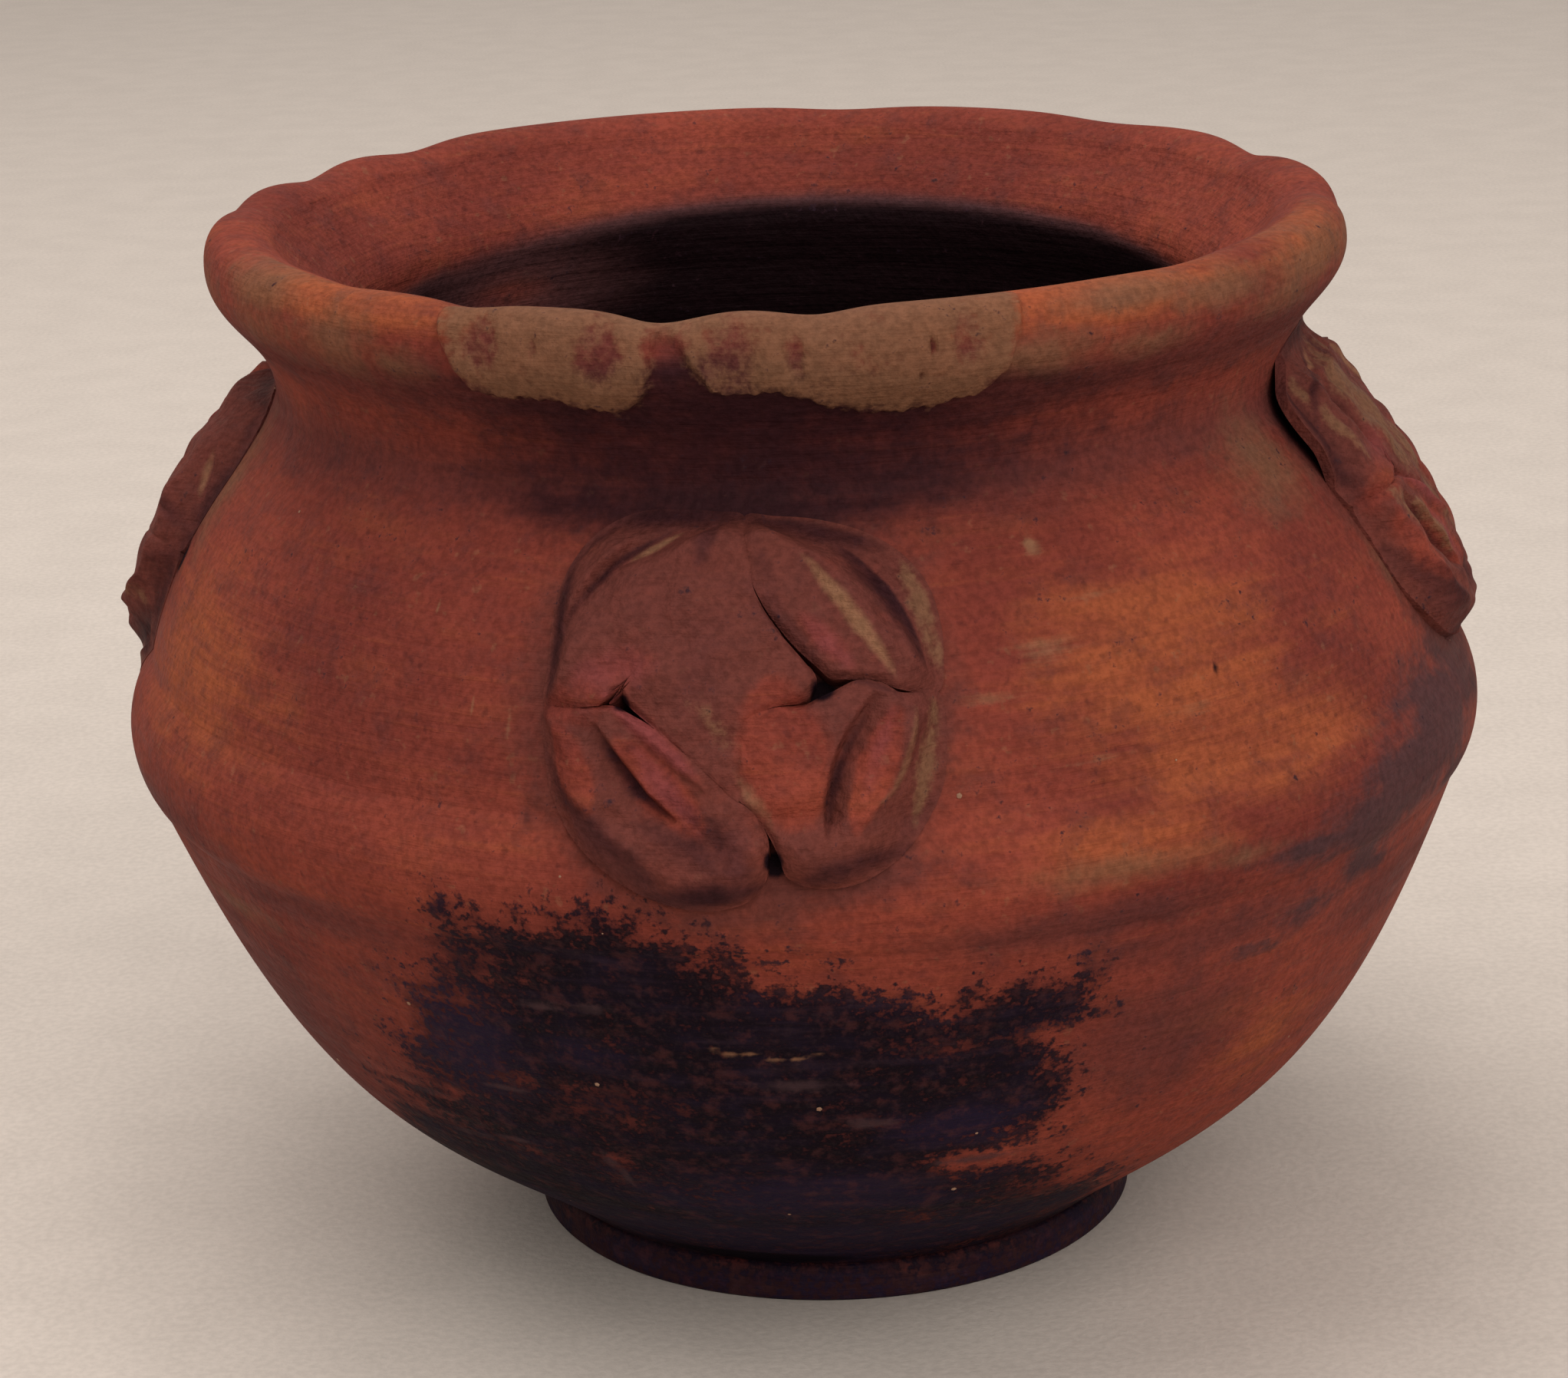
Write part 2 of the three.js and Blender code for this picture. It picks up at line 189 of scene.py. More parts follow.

# Grime and the painted shadow of the lip, under the lip round the neck: azimuth, heights of its lower and
# upper edges, and strength
UNDER_LIP_GRIME_AND_SHADE = (
    (-110, 111, 120, 0.2),
    (-60, 110, 121, 0.1),
    (-42, 109, 121.5, 0.2),
    (-33, 107, 122, 0.5),
    (-25, 104.5, 123.5, 0.78),
    (-8, 103.5, 127, 1.0),
    (4, 104.5, 125, 0.97),
    (14, 106, 123, 0.85),
    (24, 108, 121.5, 0.6),
    (36, 109.5, 120.5, 0.4),
    (52, 110, 120, 0.15),
    (110, 111, 120, 0.2),
)

# Where the dark inside is lighter, its painted shade lifted where light falls in: azimuth and height of the
# middle, half width and half height
HOLLOW_LIT = ((-138, 112, 34, 12), (-120, 100, 34, 18))

# The upper edge of the dark inside, soot and painted shade below the throat: where it is highest, its sag
# over a width to the side, and its blend
HOLLOW_AZIMUTH = 172.0
HOLLOW_HEIGHT = 120.8
HOLLOW_SAG = 2.4
HOLLOW_WIDTH = 50.0
HOLLOW_BLEND = 2.6

# The edge of the soot on the front, from its left corner round to the right: azimuth and height
SOOT_EDGE = (
    (-40, 43.2), (-39, 46.5), (-37.5, 52), (-34, 57.5), (-31.5, 62.6), (-28, 66), (-25, 65.8),
    (-21, 66.2), (-19, 67.6), (-15, 68), (-13, 67), (-10, 63.5), (-7, 62.6), (-5.5, 60),
    (-4.5, 58.4), (1, 58.4), (5.5, 55.4), (9.5, 53.4), (12, 56), (16.5, 56.4), (21.6, 54.8),
    (22.2, 51.4), (18.5, 48.8), (19.5, 45), (21.5, 40.4), (20.5, 35.5), (16, 32.8), (11, 31.4),
    (12, 29.6), (19, 28), (24, 26.6), (32, 21), (42, 15), (58, 10), (84, 6), (104, 2), (116, -8),
    (-126, -8), (-112, 2), (-94, 8), (-80, 11), (-66, 17), (-56, 26), (-49, 33), (-42, 38.5),
)

# Millimetres in a degree where the outlined marks lie
MARK_DEGREE = 1.25

# How far in from its edge the soot thickens, and how thick it is at most
SOOT_FRINGE = 6.0
SOOT_MOST = 0.72

# How far the dust reaches from the middle of a rosette
DUST_REACH = 27.0

# Marks on the wall, each kind in the same form as the thin bare clay above
SOOT_BACK = ((0, 0, 500, 9),)
SOOT_THIN = (
    (-29, 59.8, 9, 7),
    (-36, 50, 6, 9),
    (-31, 54, 9, 5),
    (-20, 40.4, 11, 5.5),
    (-29, 42.5, 7, 4),
    (-38, 38.4, 9, 5),
    (-44, 32, 13, 6),
    (-32, 30, 9, 3.5),
    (-22, 30, 4, 5),
    (10, 49.0, 8, 2.4),
    (-49, 27, 15, 8, 0.8),
    (-24, 35, 16, 5, 0.5),
    (13, 43, 5, 3.5, 0.5),
    (17, 49.6, 6, 2.4, 0.8),
    (4, 38.6, 5, 1.6),
    (15, 30.8, 12, 2.8, 0.8),
    (10, 19.6, 7, 3),
    (24, 22, 12, 5),
    (38, 12, 16, 7),
    (-13, 41, 3, 2),
    (0, 1, 500, 9),
)
# Purple bloom on the soot, and painted sheen on the soot low on the front and over the base, as marks
SOOT_BLOOM_AND_SHEEN = (
    (-6, 25, 24, 8),
    (-34, 48, 10, 14),
    (-6, 57, 9, 6, 0.3),
    (-20, 49, 12, 7, 0.6),
    (12, 37, 9, 4),
    (-4, 13, 60, 9),
    (0, 1.5, 500, 6, 0.6),
)
SCRATCHES = (
    (-8.9, 50.0, 0.9, 0.7, 0.9),
    (-7.9, 49.3, 1.0, 0.7),
    (-6.1, 49.5, 1.4, 0.6, 0.85),
    (-3.9, 48.5, 1.2, 0.6),
    (-2.2, 48.7, 1.1, 0.6, 0.85),
    (-0.6, 49.2, 1.3, 0.6, 0.8),
    (22.3, 102.3, 0.8, 0.9),
)
SCUFFS = (
    (-23, 54.6, 2.8, 0.8),
    (-18.4, 54.8, 2.4, 0.9),
    (-2, 44.8, 4.2, 1.2),
    (3.6, 38.6, 2.8, 0.8),
    (-40, 36.5, 4.5, 0.7),
    (-38, 30.6, 4.5, 0.6),
    (-32, 31.6, 3.0, 0.7),
    (14, 31, 6, 0.9),
    (-30, 40.8, 3.0, 0.6),
    (-22.0, 31.0, 0.9, 1.8),
    (-21.2, 28.2, 0.7, 2.0),
)
SMOKE = (
    (74, 77, 10, 8),
    (64, 73, 11, 8),
    (56, 69.5, 11, 7),
    (49, 67, 10, 6),
    (42, 66.5, 9, 4, 0.75),
    (51, 62, 12, 7, 0.65),
    (44, 57.5, 12, 5.5, 0.5),
    (37, 54.5, 11, 4, 0.35),
    (66, 65, 9, 5, 0.7),
    (160, 60, 26, 16),
    (0, 0, 400, 7.5),
)
# Mauve slip in patches, and painted shade in the crease under the belly ridge, under the lip and low on the
# left of the belly; the wide marks low on the belly make it darker towards the bottom
MAUVE_AND_SHADE = (
    (21, 63.5, 18, 3.8),
    (-44, 61, 18, 4.0),
    (-70, 66, 20, 3.6),
    (60, 54, 16, 7),
    (34, 58, 24, 6, 0.8),
    (-100, 28, 110, 36),
    (-62, 38, 30, 26),
    (130, 28, 80, 34),
    (0, 109, 500, 8, 0.7),
    (0, 120, 500, 5),
    (-9.6, 125, 2.6, 7),
    (-35, 122.5, 6, 4.5),
    (31, 45, 13, 13),
    (2, 73, 9, 5),
)
# Orange clay, and painted light on the left of the belly and low on its right
WARM_AND_LIT = (
    (31, 90, 18, 12),
    (38, 79, 18, 9),
    (26, 72, 12, 5),
    (36, 46, 12, 6, 0.6),
    (46, 38, 16, 14, 0.6),
    (-64, 83, 30, 18, 0.75),
    (32, 130, 26, 5),
    (-46, 130, 24, 4),
    (64, 129, 18, 5),
    (118, 88, 22, 5),
    (132, 79, 18, 4),
    (-146, 95, 20, 4),
    (-160, 86, 14, 4),
)
LIGHT_STREAKS = (
    (21, 92.5, 8, 2.8, 0.7),
    (15, 88.5, 7, 1.4, 0.65),
    (27, 97.0, 7, 2.4, 0.6),
    (33, 84.0, 9, 1.8, 0.6),
    (23, 81.0, 8, 1.2, 0.6),
    (-24.0, 86.5, 0.45, 2.2),
    (-27.5, 88.0, 0.3, 1.6),
    (-33.0, 97.0, 0.3, 1.4),
    (22.5, 102.2, 1.5, 1.5),
    (-8.0, 109.0, 0.5, 0.9),
)
# Dark nicks in the wall, and painted shade in the groove above the foot
NICKS = ((36.2, 87.5, 0.4, 1.5), (-15, 6.6, 26, 2.2))

# The kinds of marks that only the outside of the wall shows
OUTSIDE_MARKS = {
    "scratch": SCRATCHES,
    "scuff": SCUFFS,
    "smoke": SMOKE,
    "mauve_and_shade": MAUVE_AND_SHADE,
    "streak": LIGHT_STREAKS,
    "tinge": CLAY_TINGES,
}


def smoothstep(value, low, high):
    share = np.clip((value - low) / (high - low), 0.0, 1.0)
    return share * share * (3.0 - 2.0 * share)


def turn_between(azimuth, other):
    """The turn from one azimuth to another in degrees, the short way round."""
    return (azimuth - other + 180.0) % 360.0 - 180.0


def blotch(azimuth, height, marks):
    """How deep a place lies in the nearest oval mark: 1 or the mark's peak in its middle, -1 far off."""
    depth = np.full(np.broadcast(azimuth, height).shape, -1.0)
    for middle, level, half_width, half_height, *peak in marks:
        across = turn_between(azimuth, middle) / half_width
        distance = np.hypot(across, (height - level) / half_height)
        depth = np.maximum(depth, (peak[0] if peak else 1.0) - distance)
    return depth


def edge_depth(azimuth, height, edge):
    """How deep a place lies inside a closed edge drawn on the wall, in millimetres; below 0 outside it."""
    across = turn_between(azimuth, 0.0) * MARK_DEGREE + 0.0 * height
    level = height + 0.0 * across
    nearest = np.full(across.shape, np.inf)
    inside = np.zeros(across.shape, bool)
    for start, end in zip(edge, edge[1:] + edge[:1]):
        start_x = start[0] * MARK_DEGREE
        run_x = end[0] * MARK_DEGREE - start_x
        run_y = end[1] - start[1]
        share = ((across - start_x) * run_x + (level - start[1]) * run_y) / (run_x**2 + run_y**2)
        share = np.clip(share, 0.0, 1.0)
        aside = np.hypot(across - start_x - share * run_x, level - start[1] - share * run_y)
        nearest = np.minimum(nearest, aside)
        if run_y != 0.0:
            crosses = (start[1] > level) != (end[1] > level)
            inside ^= crosses & (across < start_x + (level - start[1]) * run_x / run_y)
    return np.where(inside, nearest, -nearest)


def radius_at(section, height):
    return np.interp(height, section[:, 1], section[:, 0])


def evenly(points, step):
    """A row of points, spaced evenly along the line through the given ones."""
    lengths = np.hypot(*np.diff(points, axis=0).T)
    along = np.concatenate(([0.0], np.cumsum(lengths)))
    places = np.linspace(0.0, along[-1], max(2, math.ceil(along[-1] / step) + 1))
    return np.column_stack([np.interp(places, along, points[:, axis]) for axis in (0, 1)])


def stretch(section, low, high):
    heights = np.linspace(low, high, CURVE_SAMPLES)
    return np.column_stack((radius_at(section, heights), heights))


# Kinds of pellet edge: the share of the full height that it starts at, and millimetres over which it rises
EDGES = {
    "free": (0.2, 3.8),
    "rounded": (0.06, 5.5),
    "smeared": (0.02, 8.0),
    "seam": (0.8, 0.8),
    "closed": (0.96, 0.6),
    "hole": (0.72, 0.9),
}

# The four pellets of a rosette in the rosette's plane, across and up from its middle
ROSETTE_PELLETS = {
    "broad": {
        "middle": (-5.5, 8.0),
        "edge": (
            ("seam", ((8.7, 3.9), (5.5, 7.7))),
            ("closed", ((2.8, 11.8), (2.2, 14.8), (1.6, 17.2))),
            ("smeared", ((1.2, 21.2), (-1.8, 21.8), (-5.5, 22.0), (-10.5, 21.6))),
            ("rounded", ((-15.0, 19.2), (-18.2, 15.4), (-19.9, 10.6), (-20.4, 5.2), (-20.6, 0.7))),
            ("closed", ((-16.4, 0.2), (-12.2, 0.7))),
            ("hole", ((-11.3, 2.0), (-10.3, 0.6))),
            ("closed", ((-7.2, -1.9), (-3.8, -4.8), (-0.7, -7.9))),
            ("closed", ((0.9, -9.6), (1.0, -5.4), (1.6, -1.2), (4.5, 0.5))),
            ("hole", ((7.4, 1.0), (8.6, 2.4))),
        ),
    },
    "small": {
        "middle": (12.5, 10.0),
        "edge": (
            ("seam", ((11.8, 3.2), (15.0, 2.9), (17.6, 1.8))),
            ("smeared", ((22.0, 1.9), (22.7, 5.2), (22.4, 9.4), (20.9, 13.6))),
            ("smeared", ((17.8, 17.0), (13.6, 19.4), (8.6, 20.8), (4.4, 21.2), (1.3, 21.2))),
            ("closed", ((1.5, 17.2), (2.1, 14.8), (2.8, 12.0))),
            ("seam", ((5.7, 7.9), (9.0, 4.6))),
            ("hole", ((10.4, 3.4),)),
        ),
    },
    "full": {
        "middle": (-8.8, -10.0),
        "edge": (
            ("seam", ((3.6, -13.6),)),
            ("closed", ((1.9, -10.6), (0.7, -9.4), (-0.8, -7.8), (-3.9, -4.7), (-7.3, -1.8))),
            ("hole", ((-10.3, -0.1), (-12.1, 0.6))),
            ("closed", ((-16.4, 0.2),)),
            ("rounded", ((-20.6, 0.6), (-20.8, -4.6), (-20.0, -9.6))),
            ("free", ((-17.5, -14.0), (-13.1, -17.8), (-8.0, -20.3), (-3.2, -21.1))),
            ("free", ((0.8, -20.2), (3.1, -18.0))),
            ("hole", ((3.5, -16.2),)),
        ),
    },
    "slim": {
        "middle": (11.0, -8.0),
        "edge": (
            ("hole", ((10.4, 2.0),)),
            ("closed", ((13.0, 3.0),)),
            ("seam", ((15.6, 2.6), (17.7, 1.5))),
            ("smeared", ((22.0, 1.8), (22.8, -3.4), (22.3, -8.4), (20.2, -12.7))),
            ("rounded", ((17.0, -16.2),)),
            ("free", ((12.8, -18.4), (8.6, -18.7), (5.6, -17.6))),
            ("hole", ((4.7, -15.6),)),
            ("seam", ((3.7, -13.5),)),
            ("closed", ((1.8, -10.4), (0.8, -9.0), (0.9, -5.2), (1.5, -1.1), (4.4, 0.4))),
            ("hole", ((7.6, 0.8), (9.2, 1.5))),
        ),
    },
}

# Tool strokes: middle, half length, turn, bend, depth or a rise if below 0, left spread and right spread
BROAD_SLIT = ((-11.9, 14.7, 8.8, 42, 1.6, 2.0, 0.8, 5.0), (-14.2, 17.0, 8.4, 42, 1.6, -0.4, 1.4, 1.3))
UPRIGHT_SLIT = ((-10.6, 10.5, 7.0, 84, 0.8, 2.6, 0.9, 3.2), (-13.2, 10.8, 6.6, 84, 0.8, -0.5, 1.6, 1.4))
ROSETTE_STROKES = (
    (-1.8, 18.2, 1.8, 80, 0.0, 0.7, 0.9, 0.9),
    (-3.8, 14.0, 6.5, 66, 0.6, -0.5, 2.4, 3.2),
    (-4.0, 2.0, 9.0, -35, 0.0, -0.3, 4.0, 3.0),
    (17.0, 12.3, 8.0, -53, 2.0, 2.2, 0.8, 5.2),
    (12.9, 10.4, 9.0, -52, 0.3, -0.7, 1.4, 2.2),
    (7.0, 6.4, 6.0, -50, 0.0, 1.2, 3.4, 0.6),
    (-9.9, -6.9, 7.0, -53, -0.4, 2.0, 0.8, 4.4),
    (-7.3, -3.3, 7.0, -43, 0.2, -0.8, 1.3, 1.3),
    (-14.4, -10.8, 8.8, -50, -1.6, -0.6, 2.2, 2.2),
    (-2.0, -14.5, 5.0, -30, 0.0, 0.5, 2.4, 2.4),
    (11.5, -6.1, 8.4, 72, 1.7, 2.0, 0.7, 4.2),
    (16.6, -6.1, 8.0, 67, -1.5, -0.6, 1.0, 1.0),
    (6.4, -12.8, 5.0, 20, 0.0, 0.7, 3.0, 3.0),
    (20.6, -7.0, 7.0, 76, 0.0, 0.5, 1.4, 1.6),
)

# Pale, bare, rosy, dark, tan and mauve places on a rosette, as strokes with a strength for the depth. The
# pale strokes are painted highlights on the slits' ridges, the dark strokes painted shade in the slits, round
# the holes and along the pellets' edges, and one mauve stroke painted shade on the full pellet's lower left
# side
ROSETTE_TINTS = {
    # Painted highlights on the slits' ridges
    "pale": (
        (-7.9, 17.2, 3.8, 34, 0.0, 0.9, 1.1, 1.1),
        (12.4, 9.2, 8.8, -53, 0.3, 0.95, 1.5, 1.5),
        (17.2, -5.2, 7.2, 70, -1.5, 0.6, 0.9, 1.1),
        (2.4, -9.6, 5.4, -62, 0.0, 0.6, 1.9, 1.7),
    ),
    "bare": (
        (5.6, -4.8, 9.0, -80, 0.0, 1.0, 6.2, 6.2),
        (14.6, -7.0, 7.6, 70, 0.2, 0.9, 2.8, 3.0),
        (-16.2, -6.6, 6.0, -72, 0.0, 0.85, 3.0, 3.4),
        (-16.4, 0.4, 4.6, 8, 0.0, 0.5, 4.0, 4.0),
        (-7.2, -8.4, 7.5, -52, 0.0, 0.9, 3.6, 3.6),
    ),
    "rose": (
        (-8.2, -2.3, 7.6, -42, 0.2, 1.0, 2.0, 2.0),
        (-6.4, -8.4, 6.6, -56, 0.0, 0.85, 3.0, 2.6),
        (-11.6, 4.0, 5.4, 12, 0.0, 0.7, 4.4, 4.4),
        (10.0, 6.8, 4.4, -46, 0.0, 0.75, 2.2, 2.0),
        (15.0, -4.6, 5.8, 72, 0.2, 0.6, 2.0, 2.2),
    ),
    # Painted shade in the slits, round the holes and along the pellets' edges
    "grime": (
        (-13.6, -12.2, 12.5, -46, -2.8, 0.75, 3.0, 3.0),
        (-4.0, -19.2, 8.5, 6, -0.6, 1.0, 3.0, 2.4),
        (-0.6, -15.2, 6.5, -60, 0.0, 0.65, 3.4, 3.4),
        (-9.8, -7.0, 6.8, -53, -0.4, 0.95, 0.8, 2.2),
        (12.4, -16.6, 9.5, 14, 0.0, 0.75, 2.2, 2.4),
        (-18.8, 8.6, 11.0, 82, 0.0, 0.85, 2.2, 3.0),
        (-12.0, 14.3, 10.5, 42, 1.8, 0.85, 0.6, 1.6),
        (-12.6, 18.8, 9.0, 36, 1.6, 0.6, 1.2, 1.2),
        (15.8, 11.8, 9.6, -53, 2.2, 1.0, 0.8, 4.4),
        (11.6, -6.8, 8.2, 72, 1.6, 0.75, 1.6, 1.4),
        (-4.6, -14.6, 7.0, -24, 0.0, 0.6, 4.0, 4.0),
        (-2.4, 17.0, 4.4, 76, 0.0, 0.7, 2.2, 2.2),
        (-6.0, 21.2, 12.0, 2, 0.8, 0.95, 2.0, 4.4),
        (8.0, 19.4, 10.0, -12, 0.6, 0.85, 2.0, 3.8),
        (4.0, 13.6, 5.0, -70, 0.0, 0.45, 2.0, 3.0),
        (-3.0, -12.6, 6.0, -50, 0.0, 0.5, 2.4, 2.4),
        (10.6, 12.4, 8.0, -54, 0.0, 0.4, 1.8, 2.4),
        (7.4, 7.0, 5.6, -50, 0.0, 0.5, 2.2, 1.6),
        (14.4, 2.4, 4.6, -22, 0.0, 0.5, 0.9, 0.9),
    ),
    "buff": (
        (20.2, -5.8, 8.0, 80, 0.0, 0.85, 2.2, 2.4),
        (20.4, 9.8, 8.0, -70, 0.6, 0.85, 2.2, 2.6),
        (-1.0, -1.6, 5.0, -40, 0.0, 0.5, 3.0, 2.4),
    ),
    # Mauve patches, and painted shade on the lower left side of the full pellet
    "facet": (
        (-2.0, 18.0, 2.8, 80, 0.0, 0.9, 1.8, 1.8),
        (-15.4, 18.0, 7.0, 42, 1.2, 0.8, 2.0, 2.2),
        (-10.5, -15.8, 12.0, -36, -4.2, 0.8, 3.2, 3.2),
        (0.8, -15.6, 5.6, 80, 0.0, 0.7, 2.8, 2.4),
        (19.0, -12.4, 6.0, 50, 0.0, 0.6, 2.4, 2.4),
        (5.0, 9.8, 6.4, -52, 0.0, 0.6, 1.8, 3.2),
        (-2.6, 5.6, 8.0, 70, 0.0, 0.5, 4.5, 4.5),
    ),
}

# Holes between the pellets, where the wall shows in deep shade: place and reach
ROSETTE_HOLES = ((-11.0, 0.9, 2.0), (9.5, 2.2, 2.8), (4.1, -16.0, 2.2))

# Painted shade and tan clay on the side rosettes, in the same form as the tints
RIGHT_TINTS = {
    # Painted shade in the slit and under the full pellet
    "grime": ((-10.4, 10.4, 6.8, 84, 0.8, 1.1, 1.0, 2.6), (-13.0, -13.0, 8.0, -46, -1.0, 0.9, 3.0, 3.0)),
    "buff": (
        (-15.6, 10.5, 8.0, 84, 1.0, 0.9, 2.2, 2.2),
        (-3.5, 10.0, 13.0, 80, 0.0, 1.4, 9.0, 9.0),
        (-1.0, -1.0, 10.0, 70, 0.0, 1.0, 7.0, 6.0),
        (-11.0, -6.0, 9.0, -45, 0.0, 1.2, 4.0, 4.0),
    ),
}
LEFT_TINTS = {
    # Painted shade along the pellets' edges
    "grime": ((17.0, 14.0, 4.0, 90, 0.0, 0.9, 4.0, 3.0), (-16.0, 8.0, 7.0, 80, 0.0, 0.4, 4.0, 4.0)),
    "buff": ((10.0, 15.0, 6.0, 80, 0.0, 0.9, 3.4, 3.4),),
}

# Shaded gaps beside the side rosettes: place in their plane, half width and half height
RIGHT_GAPS = ((-12.5, 9.0, 11.0, 12.0),)
LEFT_GAPS = ((1.5, 21.5, 3.2, 3.0),)

# Rosettes: name, azimuth, height, turn, strength of tint, lift of the broad pellet, its slit, gaps and tints
ROSETTE_KEYS = ("name", "azimuth", "height", "turn", "tint", "lift", "slit", "gaps", "tints")
ROSETTE_ROWS = (
    ("front", -5.5, 88.0, 0, 1.0, 0.0, BROAD_SLIT, (), {}),
    ("right", 81.0, 96.0, 0, 0.85, 1.9, UPRIGHT_SLIT, RIGHT_GAPS, RIGHT_TINTS),
    ("back", 175.0, 91.8, 90, 0.7, 0.0, BROAD_SLIT, (), {}),
    ("left", -98.0, 91.8, -90, 0.85, 0.0, BROAD_SLIT, LEFT_GAPS, LEFT_TINTS),
)
ROSETTES = [dict(zip(ROSETTE_KEYS, row)) for row in ROSETTE_ROWS]
ROSETTE_REACH = 21.0
for rosette in ROSETTES:
    levels = rosette["height"] + np.array((-ROSETTE_REACH, ROSETTE_REACH))
    run = np.diff(radius_at(OUTSIDE, levels))[0]
    rosette["steepness"] = 2 * ROSETTE_REACH / math.hypot(2 * ROSETTE_REACH, run)

# The height over which the wall's slope is taken
SLOPE_RISE = 6.0

# The top of a rosette: height in its middle, fall with the square of the distance, and least height
CROWN_HEIGHT = 5.1
CROWN_FALL = 0.0017
LEAST_HEIGHT = 0.8


def around_axis(radius, turn, height):
    """Points at a radius from the bowl's axis, turned from the front in radians."""
    return np.stack((radius * np.sin(turn), -radius * np.cos(turn), height), axis=-1)


def rosette_point(rosette, across, up, proud):
    """The place on the wall of a point in a rosette's own plane, before the bowl leans."""
    turn = math.radians(rosette["turn"])
    flat_x = across * math.cos(turn) - up * math.sin(turn)
    flat_y = across * math.sin(turn) + up * math.cos(turn)
    height = rosette["height"] + flat_y * rosette["steepness"]
    azimuth = math.radians(rosette["azimuth"]) + flat_x / radius_at(OUTSIDE, height)
    fall = radius_at(OUTSIDE, height - SLOPE_RISE / 2) - radius_at(OUTSIDE, height + SLOPE_RISE / 2)
    slope = np.hypot(fall, SLOPE_RISE)
    out = radius_at(OUTSIDE, height) + proud * SLOPE_RISE / slope
    level = height + proud * fall / slope
    return around_axis(out, azimuth, level)


def rosette_plane(rosette, azimuth, height):
    """The place in a rosette's plane of a place on the wall."""
    flat_x = np.radians(turn_between(azimuth, rosette["azimuth"])) * radius_at(OUTSIDE, height)
    flat_y = (height - rosette["height"]) / rosette["steepness"]
    turn = math.radians(rosette["turn"])
    across = flat_x * math.cos(turn) + flat_y * math.sin(turn)
    up = flat_y * math.cos(turn) - flat_x * math.sin(turn)
    return across, up


def stroke_relief(across, up, stroke):
    """The depth that one stroke presses into a pellet."""
    middle_x, middle_y, half_length, turn, bend, depth, left, right = stroke
    angle = math.radians(turn)
    along = (across - middle_x) * math.cos(angle) + (up - middle_y) * math.sin(angle)
    aside = (up - middle_y) * math.cos(angle) - (across - middle_x) * math.sin(angle)
    share = np.clip(along / half_length, -1.0, 1.0)
    aside = aside - bend * (0.5 - share * share)
    width = np.where(aside > 0.0, left, right) * (0.35 + 0.65 * (1.0 - share * share))
    profile = 1.0 - smoothstep(np.abs(aside), 0.0, width)
    return depth * profile * (1.0 - share * share) ** 0.6


def rosette_relief(across, up, rosette):
    """The height of a rosette's top over the wall, before its edges, at a place in its plane."""
    crown = CROWN_HEIGHT - CROWN_FALL * (across * across + up * up)
    uneven = 0.18 * np.sin(0.83 * across + 0.31 * up) + 0.15 * np.sin(1.1 * up - 0.42 * across + 1.0)
    strokes = sum(stroke_relief(across, up, stroke) for stroke in rosette["slit"] + ROSETTE_STROKES)
    return np.maximum(crown + uneven - strokes, LEAST_HEIGHT)


def hole_depth(across, up, share=1.0):
    """How deep a place in a rosette's plane lies in its holes, or in the given share of their reach."""
    depth = 0.0 * across
    for spot_x, spot_y, reach in ROSETTE_HOLES:
        depth = np.maximum(depth, 1.0 - np.hypot(across - spot_x, up - spot_y) / (share * reach))
    return depth


def lip_relief(azimuth, height):
    """How deep a place lies in the worn clay of the lip, in millimetres, and its facets from 0 to 1."""
    wave = 0.2 * np.sin(azimuth * 1.9) + 0.15 * np.sin(azimuth * 4.7)
    depth = edge_depth(azimuth, height + wave, WORN_EDGE)
    facets = smoothstep(blotch(azimuth, height, LIP_FACETS), 0.0, 0.65) * smoothstep(depth, 0.0, 1.0)
    return depth, facets


def length_property(name, description, default):
    return bpy.props.FloatProperty(name=name, description=description, default=default, unit="LENGTH")


class BowlSizes(bpy.types.PropertyGroup):
    wall_step: length_property("Wall step", "Spacing of the wall's points up its section", 0.0009)
    lip_step: length_property("Lip step", "Spacing of the lip's points round its roll", 0.00045)
    lean: bpy.props.FloatProperty(
        name="Lean", description="Run to the side for each unit of height", default=-0.031
    )
    lean_height: length_property("Lean height", "Level that the lean leaves in place", BELLY_HEIGHT * MM)
    rim_tilt: length_property("Rim tilt", "How far the rim drops at the front", 0.0012)
    wobble: length_property("Wobble", "How far the hand-built wall strays from round", 0.0009)
    wobble_size: length_property("Wobble size", "Width of the wall's swells and hollows", 0.05)
    worn_height: length_property("Worn height", "How far the worn clay stands out of the lip", 0.0009)
    facet_depth: length_property("Facet depth", "Depth of the fingertip facets in the lip", 0.0006)
    pellet_sink: length_property("Pellet sink", "How deep a pellet's underside sits in the wall", 0.0005)
    grain_size: length_property("Grain size", "Width of the largest temper grains", 0.00075)
    grain_density: bpy.props.FloatProperty(
        name="Grain density", description="Temper grains in a square metre of wall", default=900.0
    )
    hand_seed: bpy.props.IntProperty(name="Hand seed", description="Which wobble the wall has", default=4)
    grain_seed: bpy.props.IntProperty(
        name="Grain seed", description="Which scatter the grains have", default=7
    )


def screen_colour(red, green, blue):
    """A colour given as it looks on a screen, from 0 to 255, as Blender's own linear colour."""
    shares = (channel / 255.0 for channel in (red, green, blue))
    return tuple(share / 12.92 if share <= 0.04045 else ((share + 0.055) / 1.055) ** 2.4 for share in shares)


def colour_property(name, description, default):
    return bpy.props.FloatVectorProperty(
        name=name, description=description, default=screen_colour(*default), subtype="COLOR", min=0.0, max=1.0
    )


